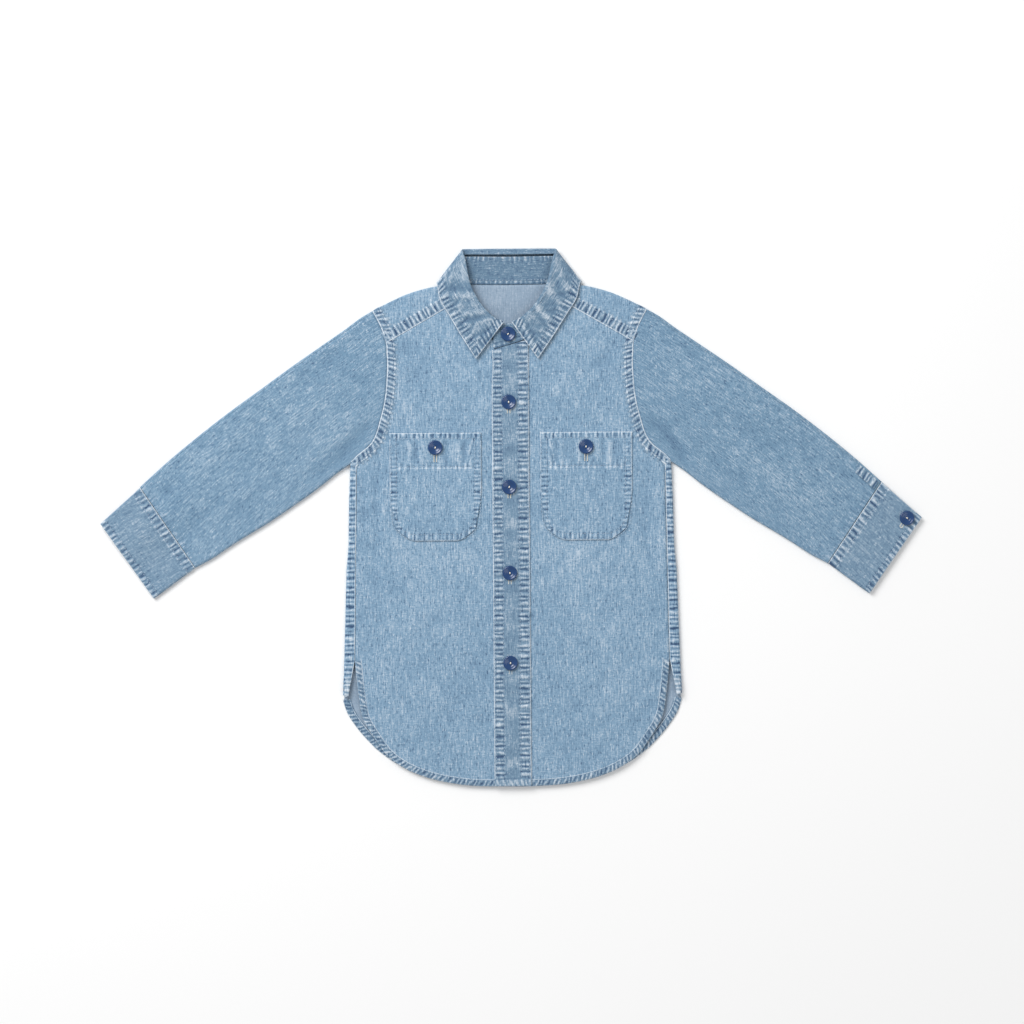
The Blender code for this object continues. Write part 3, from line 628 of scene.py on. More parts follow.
def back_panel():
    spacing = 2.8
    hem_line = dense(BACK_HEM, spacing)
    vent = dense(BACK_VENT, spacing)
    side_y = np.linspace(VENT_TOP_Y, 50, 80)
    side = line_of(x_at(SIDE_EDGE, side_y) - EDGE, side_y)
    pit = np.array([[PIT_X, armhole_near_pit(PIT_X) - 0.3]])
    armhole = moved(dense(np.concatenate([pit, ARMHOLE]), spacing), 0.15)
    armhole[-1, 1] = BACK_YOKE_SEAM_Y - 0.15
    outer = np.concatenate([vent, side, armhole])
    top = line_of(np.linspace(0, outer[-1, 0], len(hem_line)), outer[-1, 1])
    middle = beside(outer, 0, hem_line[0, 1], top[0, 1])
    half = fill(hem_line, top, middle, outer)
    plan = np.concatenate([half[:, :0:-1] * [-1, 1], half], axis=1)
    inwards = ramp(abs(plan[..., 0]), 158, 140) * ramp(plan[..., 1], -250, -225)
    flat = raised(plan, LOWER + 0.5 * abs(ripple(plan)) * inwards)
    grids = [(flat, plan, 0.5 * ripple(plan))]
    for side_sign, seed in ((LEFT, 3.0), (RIGHT, 7.0)):
        y = np.linspace(VENT_TOP_Y, 54, 230)
        rows = []
        for level in y:
            edge_x = x_at(SIDE_EDGE, level) - EDGE
            seam_x = x_at(SIDE_SEAM, level) + 0.1
            if level < SIDE_SEAM[0][1]:
                seam_x = np.interp(level, (VENT_TOP_Y, SIDE_SEAM[0][1]), (156, SIDE_SEAM[0][0] + 0.1))
            under = raised(line_of(np.linspace(edge_x - 3, edge_x, 3), level), LOWER)
            turn = fold((edge_x, level), (1, 0), LOWER, UPPER, np.linspace(-75, 75, 9))
            over = raised(line_of(np.linspace(edge_x, seam_x, 12), level), UPPER)
            line = np.concatenate([under, turn, over])
            top_y = armhole_near_pit(np.clip(line[:, 0], 146.5, 152.7)) - 0.5
            line[:, 1] = VENT_TOP_Y + (level - VENT_TOP_Y) * (top_y - VENT_TOP_Y) / (54 - VENT_TOP_Y)
            rows.append(line)
        wrap = np.array(rows)
        from_seam = run_across(wrap)[:, -1:] - run_across(wrap)
        ridge = puckers(wrap[..., 1], from_seam, 4.6, seed)
        reach = ramp(from_seam, 0.2, 1.4) * ramp(from_seam, 12, 7.5)
        rows_at = bump(from_seam, 1.4, 0.45) + bump(from_seam, 6.2, 0.45)
        height = 0.42 * ramp(from_seam, 8.5, 6.6) + 0.26 * ridge * reach - 0.2 * rows_at
        wear_and_shade = worn(ridge) * reach + bump(from_seam, 0.2, 0.5) - 0.3 * rows_at
        wear_and_shade = wear_and_shade + 0.1 * wave(wrap[..., 1], 31, seed)
        wrap = wrap - normals(wrap) * height[..., None]
        grids.append((sided(wrap, side_sign), wrap[..., :2], wear_and_shade))
    return piece("back_panel", grids, (BODY, WRONG), top_up=False, node="back_panel")


def run_across(grid):
    """The distance along each row of a grid."""
    gaps = np.linalg.norm(np.diff(grid, axis=1), axis=-1)
    return np.concatenate([np.zeros((len(grid), 1)), np.cumsum(gaps, axis=1)], axis=1)


def front_outer(spacing):
    return joined(
        dense(FRONT_VENT, spacing), dense(SIDE_SEAM, spacing), dense(ARMHOLE, spacing),
        dense((ARMHOLE[-1], YOKE_ARMHOLE[0]), spacing)
    )


def front_hem_line(inner, spacing):
    return joined(
        dense(((inner, FRONT_HEM[0][1] - 0.1), *[p for p in FRONT_HEM if p[0] > inner + 5]), spacing),
        dense(FRONT_VENT, spacing),
    )


def front_panel(name, side, inner, threads):
    spacing = 2.1
    hem_line = dense(((inner, FRONT_HEM[0][1]), *[p for p in FRONT_HEM if p[0] > inner + 5]), spacing)
    outer = moved(front_outer(spacing), 0.15)
    neck = dense(((inner, neck_y(inner)), *[p for p in FRONT_NECK if p[0] > inner]), spacing)
    seam_count = len(hem_line) - len(neck) + 1
    yoke_seam = at((FRONT_NECK[-1], YOKE_ARMHOLE[0]), np.linspace(0, 1, max(seam_count, 8)))
    top = moved(joined(neck, yoke_seam), -0.15)
    hem_line = at(hem_line, np.linspace(0, 1, len(top)))
    top[0, 0] = inner
    middle = beside(outer, inner, hem_line[0, 1], top[0, 1])
    top[-1] = outer[-1]
    plan = fill(moved(hem_line, 0.5), top, middle, outer) * [side, 1]
    below_pocket = bump(plan[..., 1], -38, 22) * bump(abs(plan[..., 0]), 66, 46)
    # Painted shade and light: the colour follows the panel's relief, darker in its creases and troughs and
    # lighter on its rises. Below each pocket it is a little paler
    wear_and_shade = 0.25 * relief(plan) + 0.12 * below_pocket
    grids = [(raised(plan, UPPER + relief(plan)), plan, wear_and_shade)]
    body = piece(name, grids, (BODY, WRONG), node=name)
    line = front_hem_line(inner if side > 0 else -17, 0.9) * [side, 1]
    if side < 0:
        line = line[::-1]
    hemmed = hem(line, UPPER, 1.0 + side, threads=threads)
    edge = piece(f"{name}_hem", [hemmed], (TRIM,), thickness=0.3)
    return body, edge


def yoke_height(x, y):
    return LOWER + 1.4 * ramp(y, 188, 207) * ramp(x, 90, 72)


YOKE_LINES = ((0, 0, 221.0), (19, 20, 221.2), (36, 40, 221.6), (47, 54, 222.1))


def yoke(threads):
    """The yoke in three grids: the back with the folds over the shoulders, built as lines across."""
    count = 30
    columns, neck = [], []
    for x, neck_x, y in YOKE_LINES:
        plan = at(((x, BACK_YOKE_SEAM_Y + 0.15), (neck_x, y)), np.linspace(0, 1, count))
        neck.append(raised(plan, yoke_height(plan[:, 0], plan[:, 1])))
    shoulder = at(SHOULDER, np.linspace(0, 1, 5))
    outward = moved(shoulder, 1) - shoulder
    front_seam = moved(at((FRONT_NECK[-1], YOKE_ARMHOLE[0]), np.linspace(0, 1, 5)), 0.1)
    back_x = (56, 74, 90, 104, ARMHOLE[-1][0] - 0.15)
    for i, start in enumerate(shoulder - EDGE * outward):
        plan = at(((back_x[i], BACK_YOKE_SEAM_Y + 0.15), tuple(start)), np.linspace(0, 1, count))
        front = at((tuple(start), tuple(front_seam[i])), np.linspace(0, 1, 16))
        if i == 4:
            plan = at(
                np.array([(ARMHOLE[-1][0], BACK_YOKE_SEAM_Y + 0.15), *YOKE_ARMHOLE]) - [0.15, 0],
                np.linspace(0, 1, count),
            )
            front = at(np.array(YOKE_ARMHOLE[::-1]) - [0.15, 0], np.linspace(0, 1, 16))
        back = raised(plan, yoke_height(plan[:, 0], plan[:, 1]))
        low = back[-1, 2]
        high = UPPER + 0.5 * (low - LOWER) / 1.4
        top = raised(front, high + (UPPER - high) * np.linspace(0, 1, 16))
        bend = fold(plan[-1], outward[i], low, high, np.linspace(-70, 70, 9))
        columns.append(np.concatenate([back, bend, top]))
    shoulders = np.array(columns)
    stations = np.array((0.0, 0.9, 1.8, 2.7, 3.8))
    shoulders = through(stations, shoulders, np.linspace(0, stations[-1], 34))
    middle = np.array(neck + [shoulders[0][:count]])
    middle = through(np.array((0, 20, 40, 54, 61.0)), middle, np.linspace(0, 61, 30))
    whole = np.concatenate([middle[:0:-1] * [-1, 1, 1], middle])
    grids = []
    for lines, side in ((whole, 1), (shoulders, LEFT), (shoulders, RIGHT)):
        grid = lines.transpose(1, 0, 2) * [side, 1, 1]
        if lines is shoulders:
            over = ramp(np.arange(grid.shape[0]), count + 8, count + 12)[:, None]
            grid[..., 2] += over * relief(grid[..., :2])
        grids.append((grid, grid[..., :2], 0.25 * ripple(grid[..., :2])))
    body = piece("yoke", grids, (BODY, WRONG), top_up=False, node="yoke")
    seams = []
    for side, seed in ((LEFT, 2.0), (RIGHT, 5.0)):
        line = dense((FRONT_NECK[-1], YOKE_ARMHOLE[0]), 0.8) * [side, 1]
        line = line if side > 0 else line[::-1]
        seams.append(felled(line, 9.5, UPPER, seed, period=4.5, strength=1.15, threads=threads))
    front = piece("yoke_front_seams", seams, (TRIM,), thickness=0.45)
    line = line_of(np.linspace(116.5, -116.5, 260), BACK_YOKE_SEAM_Y)
    seam = felled(line[::-1], 7.0, LOWER, 8.0, facing=-1)
    seam[0][..., 2] = np.maximum(seam[0][..., 2], 0.24)
    back = piece("yoke_back_seam", [seam], (TRIM,), thickness=0.45, top_up=False)
    return body, front, back


def front_placket(threads):
    """The buttonhole strip: two rows of stitches down each side, with puckers between them."""
    half, near_row, left_row, right_row = 17.5, 1.5, 9.4, 9.9
    x = np.concatenate([np.linspace(-half, -7, 13), np.linspace(-6, 5, 9), np.linspace(6, half, 14)])
    y = np.linspace(0, 1, 430)
    top = neck_y(x) - 0.3
    bottom = np.full_like(x, -255.2)
    wander = 0.5 * wave(np.linspace(0, 420, 430), 160, 0.8)
    plan_x = x[None] + wander[:, None] * ramp(y, 1.0, 0.9)[:, None] * ramp(abs(x), 20, 5)[None] * 0.6
    plan_y = bottom[None] + y[:, None] * (top - bottom)[None]
    plan_x = plan_x + 1.1 * (bump(plan_y, 146, 14) * ramp(x, -8, -17.5)[None])
    plan = np.stack([np.broadcast_to(plan_x, plan_y.shape), plan_y], axis=-1)
    left, right = x[None] + half, half - x[None]
    ridge_left = puckers(plan_y, left, 4.6, 1.7)
    ridge_right = puckers(plan_y, right, 4.9, 4.4)
    reach_left = ramp(left, 0.2, 1.6) * ramp(left, 11.5, 8.0)
    reach_right = ramp(right, 0.2, 1.6) * ramp(right, 12.8, 8.8)
    rows = bump(left, near_row, 0.5) + bump(left, left_row, 0.6)
    rows = rows + bump(right, near_row, 0.5) + bump(right, right_row, 0.6)
    height = 0.42 * (ridge_left * reach_left + ridge_right * reach_right) - 0.25 * rows
    wear_and_shade = worn(ridge_left) * reach_left + worn(ridge_right) * reach_right - 0.35 * rows
    wear_and_shade = wear_and_shade + bump(left, 0, 0.7) + bump(right, 0, 0.7) + 0.25 * wave(plan_y, 26, 2) * bump(x, 0, 7)[None]
    hem_rise = ramp(plan_y, -248.6, -249.6)
    across = puckers(plan[..., 0], plan_y, 4.4, 2.0, 0.5)
    height = height * (1 - hem_rise) + hem_rise * (0.3 + 0.3 * across)
    # The dark line just above the raised hem is painted shade in the corner where the hem rises
    wear_and_shade = wear_and_shade * (1 - hem_rise) + hem_rise * (0.2 + 0.4 * across) - 0.4 * bump(plan_y, -248.4, 0.6)
    soft = 0.22 * wave(plan_y, 37, 0.7) * bump(x, 0, 8)[None]
    top_z = ON_TOP + relief(plan) + height + soft
    strip = piece("front_placket", [(raised(plan, top_z), plan, wear_and_shade)], (TRIM, WRONG), node="front_placket")
    for column in (near_row, left_row, 2 * half - right_row, 2 * half - near_row):
        k = int(np.argmin(abs(x + half - column)))
        threads.sew(raised(plan[8:-2, k], top_z[8:-2, k] + CLOTH / 2), (0, 0, 1))
    return strip


def pocket_outline(side):
    left, right = POCKET_X - POCKET_WIDTH / 2, POCKET_X + POCKET_WIDTH / 2
    bottom = POCKET_TOP - POCKET_HEIGHT
    corner = POCKET_CORNER
    points = [(left, POCKET_TOP), (left, 30), (left, bottom + corner)]
    centre_y = bottom + corner
    for angle in np.radians(np.linspace(180, 270, 10)[1:]):
        points.append((left + corner + corner * math.cos(angle), centre_y + corner * math.sin(angle)))
    points.append((POCKET_X, bottom))
    for angle in np.radians(np.linspace(270, 360, 10)):
        points.append((right - corner + corner * math.cos(angle), centre_y + corner * math.sin(angle)))
    points += [(right, 30), (right, POCKET_TOP)]
    return np.array([(side * px, py) for px, py in points])


def pocket(name, side, threads, seed):
    """A patch pocket: a grid from its top edge down, whose rows narrow round the lower corners."""
    left, right = POCKET_X - POCKET_WIDTH / 2, POCKET_X + POCKET_WIDTH / 2
    bottom = POCKET_TOP - POCKET_HEIGHT
    v = np.linspace(0, 1, 96)
    u = np.linspace(-1, 1, 84)
    u = np.sign(u) * (1 - (1 - abs(u)) ** 1.25)
    half_width = POCKET_WIDTH / 2
    # The lower corners draw the grid's lines in, so that they follow the curved edge.
    px, py = np.meshgrid(u, v)
    shrink = ramp(py, 0.5, 1.0) * abs(px) ** 6
    x = POCKET_X + half_width * px * (1 - 0.13 * shrink)
    y = POCKET_TOP - POCKET_HEIGHT * py * (1 - 0.11 * ramp(abs(px), 0.45, 1.0) * py**5)
    corner = POCKET_CORNER
    over_x, over_y = abs(x - POCKET_X) - (half_width - corner), (bottom + corner) - y
    outside = (over_x > 0) & (over_y > 0)
    reach = np.hypot(over_x, over_y)
    shorten = np.where(outside & (reach > corner), corner / np.maximum(reach, 1e-6), 1)
    from_middle = np.where(outside, half_width - corner + over_x * shorten, abs(x - POCKET_X))
    x = POCKET_X + np.sign(x - POCKET_X) * from_middle
    y = np.where(outside, bottom + corner - over_y * shorten, y)
    plan = np.stack([x * side, y], axis=-1)
    to_side = half_width - abs(x - POCKET_X)
    to_bottom = y - bottom
    from_corner = reach * np.where(reach > corner, corner / np.maximum(reach, 1e-6), 1)
    inset = np.where(outside, corner - from_corner, np.minimum(to_side, to_bottom))
    inset = np.clip(inset, 0, None)
    to_top = POCKET_TOP - y
    along = np.where(to_side < to_bottom, y, x)
    ridge = puckers(along, inset, 4.4, seed)
    below_band = ramp(to_top, 30, 33)
    reach_in = ramp(inset, 0.2, 1.3) * ramp(inset, 9, 6.2) * (0.35 + 0.65 * below_band)
    outer_row, inner_row, top_row, band_row = 1.3, 6.2, 5.2, 31.8
    rows = bump(inset, outer_row, 0.45) + bump(inset, inner_row, 0.5)
    top_ridge = puckers(x, to_top, 4.2, seed + 3)
    top_reach = ramp(to_top, 0.2, 1.2) * ramp(to_top, 7, 4)
    band_ridge = puckers(x, to_top, 5.2, seed + 4) * bump(to_top, 32, 3.4) * ramp(inset, 5, 8)
    band_folds = wave(x, 15, seed + 1) * ramp(to_top, 4, 12) * ramp(to_top, 32, 26) * ramp(inset, 6, 10)
    line_in = bump(to_top, band_row, 0.6) * ramp(inset, 5.5, 6.5)
    slot_x = POCKET_X - half_width + 6.3 + np.clip((to_top - 5) / 27, 0, 1) * 7.0
    slot = bump(x, slot_x, 0.8) * ramp(to_top, 4, 6) * ramp(to_top, 33, 30)
    height = 0.3 * ridge * reach_in - 0.2 * rows + 0.3 * top_ridge * top_reach
    height = height + 0.28 * band_ridge - 0.3 * line_in
    height = height + 0.4 * band_folds - 0.25 * slot - 0.15 * bump(to_top, top_row, 0.5)
    wear_and_shade = 0.8 * worn(ridge) * reach_in + 0.9 * worn(top_ridge) * top_reach
    # Painted shade and light: the colour follows the band's soft folds, darker in their troughs and lighter on
    # their crests
    wear_and_shade = wear_and_shade + 0.45 * band_ridge + 0.35 * band_folds
    wear_and_shade = wear_and_shade + 0.7 * bump(inset, 0, 0.6) + 0.8 * bump(to_top, 0, 0.8)
    wear_and_shade = wear_and_shade + 0.45 * bump(to_top, 33.2, 0.7) * ramp(inset, 5.5, 6.5)
    # The slot's crease is painted dark as shade, with a pale line beside it
    wear_and_shade = wear_and_shade - 0.35 * rows - 0.45 * line_in - 0.6 * slot
    wear_and_shade = wear_and_shade + 0.4 * bump(x, slot_x + 1.4, 0.7) * ramp(to_top, 5, 7) * ramp(to_top, 33, 30)
    level = ON_TOP + relief(plan)
    grid = raised(plan, level + height)
    made = piece(name, [(grid, plan, wear_and_shade)], (BODY, WRONG), node=name)
    outline = pocket_outline(side)
    path = at(outline, np.linspace(0, 1, 260))
    inward = moved(path, side * 1.0) - path
    for depth in (outer_row, inner_row):
        line = path + inward * depth
        line = line[(line[:, 1] < POCKET_TOP - 1.2)]
        threads.sew(raised(line, ON_TOP + relief(line) + CLOTH / 2 - 0.1), (0, 0, 1))
    for down in (top_row, band_row):
        line = line_of(np.linspace(left + 6.5, right - 6.5, 60) * side, POCKET_TOP - down)
        threads.sew(raised(line, ON_TOP + relief(line) + CLOTH / 2 - 0.1), (0, 0, 1))
    return made


def side_gusset(name, side):
    """The folded patch that closes the top of a vent."""
    u, v = np.meshgrid(np.linspace(0, 1, 12), np.linspace(0, 1, 26))
    left_x = np.interp(v, (0, 0.45, 1), (155.9, 154.6, 152.6))
    right_x = np.interp(v, (0, 0.5, 1), (159.6, 159.8, 158.6))
    x = left_x + u * (right_x - left_x)
    y = -168.6 + v * 17.5 - 1.2 * u * (1 - v)
    height = 0.35 * np.sin(u * math.pi) + 0.25 * puckers(y, x, 4.2, 2.0 + side) - 0.2 * ramp(v, 0.7, 1)
    wear_and_shade = 0.35 + 0.5 * puckers(y, x, 4.2, 2.0 + side) + 0.3 * bump(v, 0, 0.08)
    plan = np.stack([x * side, y], axis=-1)
    return piece(name, [(raised(plan, ON_TOP - 0.1 + height), plan, wear_and_shade)], (TRIM,), 0.8, node=name)


# Sleeves and cuffs


def cuff_lift(plan):
    """How far the wearer's right cuff and sleeve end stand up on the button that is under them."""
    towards_body = np.subtract(SLEEVE_TOP[-1], HAND_TOP)
    towards_body = towards_body / np.linalg.norm(towards_body)
    inwards = np.subtract(HAND_LOW, HAND_TOP)
    inwards = inwards / np.linalg.norm(inwards)
    from_corner = np.asarray(plan, float) - HAND_TOP
    return BUTTON_LIFT * ramp(from_corner @ towards_body, 150, 28) * ramp(from_corner @ inwards, 64, 26)


def outward_from(edge, sign, first):
    """The outward directions along a sleeve's edge: the first one given, and then square to the edge."""
    square = (moved(edge, 1) - edge) * sign
    share = ramp(steps(edge), 0, 0.12)[:, None]
    mixed = (1 - share) * np.array(first) + share * square
    return mixed / np.linalg.norm(mixed, axis=1)[:, None]


def sleeve_creases(plan, creases):
    height = ripple(plan * [1, 1] + [40, 0], 0.9)
    for start, end, width, depth, curve in creases:
        height = height + crease(plan, start, end, width, depth, curve)
    return height


def sleeve(name, side, creases):
    count = 52
    s = np.concatenate([np.linspace(0, 0.9, 112), np.linspace(0.9, 1, 26)[1:]])
    upper, lower = at(SLEEVE_TOP, s), at(SLEEVE_LOW, s)
    up, down = outward_from(upper, 1, (0.45, 0.893)), outward_from(lower, -1, (0.65, -0.76))
    upper_in, lower_in = upper - EDGE * up, lower - EDGE * down
    pit = (PIT_X, armhole_near_pit(PIT_X))
    corner = np.array([*YOKE_ARMHOLE[::-1], *ARMHOLE[::-1], pit], float)
    armhole = moved(at(corner, np.linspace(0, 1, count)), 0.25)
    upper_in[0], lower_in[0] = armhole[0], armhole[-1]
    plan = fill(armhole, at((upper_in[-1], lower_in[-1]), np.linspace(0, 1, count)), upper_in, lower_in)
    along, across = np.meshgrid(s * 300, np.linspace(0, 95, count), indexing="ij")
    relaxed = ramp(np.linspace(0, 1, count), 0, 0.07) * ramp(np.linspace(0, 1, count), 1, 0.93)
    soft = sleeve_creases(plan, creases)
    to_cuff = (1 - s)[:, None] * 285
    pinch = puckers(across, to_cuff, 5.6, 3.0 + side) * ramp(to_cuff, 16, 1)
    near_armhole = ramp(s * 285, 7, 0)[:, None]
    raise_ = soft * relaxed[None] + 0.28 * pinch * relaxed[None] + 0.1 * near_armhole
    above = raised(plan, UPPER + raise_)
    # Painted shade and light: the colour follows the sleeve's creases, darker in troughs and lighter on crests.
    # The strip along the armhole seam is painted darker as shade
    wear_and_shade_above = 0.22 * soft + 0.32 * pinch - 0.25 * near_armhole * ramp(s * 285, 3, 0)[:, None]
    below = raised(plan, LOWER + 0.25 * abs(soft) * relaxed[None])[:, ::-1]
    turns = np.linspace(72, -72, 9)
    low_fold = np.array([fold(p, d, LOWER, UPPER, turns) for p, d in zip(plan[:, -1], down)])
    top_fold = np.array([fold(p, d, LOWER, UPPER, turns[::-1]) for p, d in zip(plan[:, 0], up)])
    rings = np.concatenate([above, low_fold, below, top_fold, above[:, :1]], axis=1)
    around = run_across(rings)
    fabric = np.stack([around, np.broadcast_to(along[:, :1], around.shape)], axis=-1)
    wear_and_shade = np.zeros(rings.shape[:2])
    wear_and_shade[:, :count] = wear_and_shade_above
    if side < 0:
        rings[..., 2] += cuff_lift(rings[..., :2])
        fabric = fabric + [37, 13]
    return piece(name, [(sided(rings, side), fabric, wear_and_shade)], (SLEEVE, WRONG), node=name)


def armhole_seam(name, side, seed, threads):
    """The felled seam round an armhole, on the body's side: front, shoulder, back and pit."""
    front = dense(ARMHOLE, 0.8)
    front = joined(front, dense((ARMHOLE[-1], *YOKE_ARMHOLE), 0.8))
    front = joined(dense(((PIT_X, armhole_near_pit(PIT_X)), ARMHOLE[0]), 0.8), front)
    inward = moved(front, 1) - front
    share = ramp(run_of(front), -2, 9)[:, None]
    inward = inward * share + np.array((0, -1)) * (1 - share)
    inward /= np.linalg.norm(inward, axis=1)[:, None]
    shoulder_out, pit_out = np.array((0.45, 0.893)), np.array((0.65, -0.76))
    degrees = np.linspace(75, -75, 9)
    over = fold(front[-1], shoulder_out, LOWER, UPPER, degrees)
    under = fold(front[0], pit_out, LOWER, UPPER, -degrees)
    line = np.concatenate([raised(front, UPPER), over, raised(front[::-1], LOWER), under])
    flat, bend = len(front), len(degrees)
    first, last = np.tile(inward[0], (bend, 1)), np.tile(inward[-1], (bend, 1))
    across = np.concatenate([inward, last, inward[::-1], first])
    lift = np.zeros_like(line)
    lift[:flat, 2] = 1
    lift[flat:flat + bend] = raised(
        np.outer(np.cos(np.radians(degrees)), shoulder_out), np.sin(np.radians(degrees))
    )
    lift[flat + bend:2 * flat + bend, 2] = -1
    lift[-bend:] = raised(np.outer(np.cos(np.radians(-degrees)), (1, 0)), np.sin(np.radians(-degrees)))
    width = 7.2
    t = np.array(
        (-0.8, -0.35, 0, 0.35, 0.8, 1.3, 1.9, 2.6, 3.4, 4.2, 5.0, 5.6, 6.2, 6.9, 7.9, 9.2, 10.6, 11.9)
    )
    s = run_of(line)
    grid = line[:, None] + raised(across, 0)[:, None] * t[None, :, None]
    height, wear_and_shade = puckered(s, t, width, seed, 4.5, 0.36, 4.0, slant=0.35)
    rise = CLOTH / 2 + height - 0.22
    soft = np.zeros(grid.shape[:2])
    soft[:flat] = relief(grid[:flat, :, :2] * [side, 1])
    grid = grid + lift[:, None] * rise[..., None]
    grid[..., 2] += soft
    low = grid[..., 2] < 2
    grid[..., 2] = np.where(low, np.maximum(grid[..., 2], 0.24), grid[..., 2])
    closed = np.concatenate([grid, grid[:1]])
    wear_and_shade = np.concatenate([wear_and_shade, wear_and_shade[:1]])
    fabric = np.stack(np.broadcast_arrays(t[None], np.append(s, s[-1] + 1)[:, None]), axis=-1)
    sewn = sided(grid, side)
    for row in (1.3, width - 1.2):
        k = int(np.argmin(abs(t - row)))
        threads.sew(sewn[:flat, k] + [0, 0, 0.2], (0, 0, 1))
    return piece(name, [(sided(closed, side), fabric, wear_and_shade)], (TRIM,), thickness=0.45)


def cuff_ends(depth):
    top = (1 - depth) * np.array(SLEEVE_TOP[-1]) + depth * np.array(HAND_TOP)
    low = (1 - depth) * np.array(SLEEVE_LOW[-1]) + depth * np.array(HAND_LOW)
    return top, low


def cuff_point(across, depth):
    top, low = cuff_ends(depth)
    return top + np.outer(across, (low - top) / np.linalg.norm(low - top))


def cuff(name, side, threads, seed):
    """The cuff: a felled, puckered seam at the sleeve and a stitched row near the hand."""
    depths = np.concatenate(
        [np.linspace(0.004, 0.2, 16), np.linspace(0.22, 0.84, 16), np.linspace(0.86, 1, 12)]
    )
    outer_count, turn_count, under_count = 92, 9, 60
    under_from = outer_count + turn_count
    rows = []
    for depth in depths:
        top, low = cuff_ends(depth)
        wide = np.linalg.norm(low - top)
        turn = np.radians(np.linspace(72, -72, turn_count))
        outer = [(w, UPPER) for w in np.linspace(0.4, wide - EDGE, outer_count)]
        low_fold = [(wide - EDGE + FOLD * math.cos(a), LOWER + FOLD + FOLD * math.sin(a)) for a in turn]
        under = [(w, LOWER) for w in np.linspace(wide - EDGE, EDGE, under_count)]
        lap_z = LOWER + 2 * LAP_FOLD
        lap_mid = LOWER + LAP_FOLD
        lap_fold = [(EDGE - LAP_FOLD * math.cos(a), lap_mid + LAP_FOLD * math.sin(a)) for a in -turn[::2]]
        lap = [(w, lap_z) for w in np.linspace(EDGE, CUFF_LAP, 12)]
        section = np.array(outer + low_fold + under + lap_fold + lap)
        height = section[:, 1]
        plan = cuff_point(section[:, 0], depth)
        if side < 0:
            height = LOWER + UPPER - height + cuff_lift(plan)
        rows.append(raised(plan, height))
    grid = np.array(rows)
    around = run_across(grid)
    from_seam = np.broadcast_to((depths * 50)[:, None], around.shape)
    from_hand = 50 - from_seam
    ridge = puckers(around, from_seam, 5.4, seed)
    hand_ridge = puckers(around, from_hand, 5.0, seed + 1.7)
    reach = ramp(from_seam, 0.2, 1.2) * ramp(from_seam, 12.5, 7.6)
    hand_reach = ramp(from_hand, 0, 0.8) * ramp(from_hand, 8.5, 5.0)
    rows_at = bump(from_seam, 1.3, 0.5) + bump(from_seam, 8.2, 0.5) + bump(from_hand, 6.0, 0.5)
    end = np.minimum(around, around[:, -1:] - around)
    end_reach = bump(end, 0, 0.8)
    soft = 0.3 * wave(around, 34, seed) * wave(from_seam, 40, 1)
    soft = soft * ramp(from_seam, 10, 16) * ramp(from_hand, 6, 12)
    height = 0.4 * ridge * reach + 0.34 * hand_ridge * hand_reach - 0.25 * rows_at + soft
    wear_and_shade = worn(ridge) * reach + worn(hand_ridge) * hand_reach - 0.4 * rows_at + bump(from_seam, 0.3, 0.6)
    # The hand edge and the cuff's ends are rubbed pale. The colour also follows the soft wrinkles as painted
    # shade and light, darker in their troughs
    wear_and_shade = wear_and_shade + 0.4 * bump(from_hand, 0, 0.8) + 0.5 * end_reach + 0.3 * soft
    wear_and_shade = wear_and_shade + 0.3 * bump(from_seam, 9.3, 0.6)
    out = normals(grid)
    if out[0, 4, 2] < 0:
        out = -out
    if side < 0:
        out = -out
    limit = ramp(around, around[0, -1] - 14, around[0, -1] - 20)
    lying = np.where(abs(grid[..., 2] - LOWER) < 0.3, 0.3, 1)
    grid = grid + out * (height * limit * lying)[..., None]
    grid[..., 2] = np.maximum(grid[..., 2], 0.5)
    fabric = np.stack([around, from_seam], axis=-1)
    made = piece(name, [(sided(grid, side), fabric, wear_and_shade)], (TRIM, WRONG), node=name, top_up=side > 0)
    sewn = sided(grid, side)
    for depth in (1.3, 8.2, 44.0):
        k = int(np.argmin(abs(depths * 50 - depth)))
        strip = sewn[k, :outer_count] if side > 0 else sewn[k, under_from:under_from + under_count][::-1]
        threads.sew(strip + [0, 0, CLOTH / 2], (0, 0, 1))
    return made


def sleeve_vent_binding(name, side):
    across = np.subtract(SLEEVE_LOW[-1], SLEEVE_TOP[-1])
    across = across / np.linalg.norm(across)
    line = at(SLEEVE_TOP, np.linspace(0.905, 0.99, 34)) + across * 2.3
    t = np.linspace(0, 8, 12)
    plan = line[:, None] + across[None, None] * t[None, :, None]
    s = run_of(line)[:, None]
    ridge = puckers(s, t[None], 4.6, 6.0 + side)
    height = 0.3 * ridge * ramp(t, 0.2, 1.2) * ramp(t, 8, 6)
    wear_and_shade = worn(ridge) + 0.5 * bump(t, 0, 0.7)[None] + 0.3 * bump(t, 8, 0.7)[None]
    if side > 0:
        z = ON_TOP - 0.1 + height
    else:
        z = LOWER - 1.3 + cuff_lift(plan) - height * 0.3
    return piece(name, [(sided(raised(plan, z), side), plan, wear_and_shade)], (TRIM,), 0.9, top_up=side > 0, node=name)


# Collar


def stand_half(end, height, count):
    stations = [(np.array(neck), np.array(top)) for neck, top, _, _ in COLLAR]
    stations[-1] = (np.array((*COLLAR[-1][0][:2], height)), np.array((*COLLAR[-1][1][:2], height + 0.5)))
    for x, y, top_x, top_y in end:
        stations.append((np.array((x, y, height)), np.array((top_x, top_y, height))))
    stations = np.array(stations)
    t = run_of((stations[:, 0] + stations[:, 1]) / 2)
    return through(t, stations, np.linspace(0, t[-1], count))


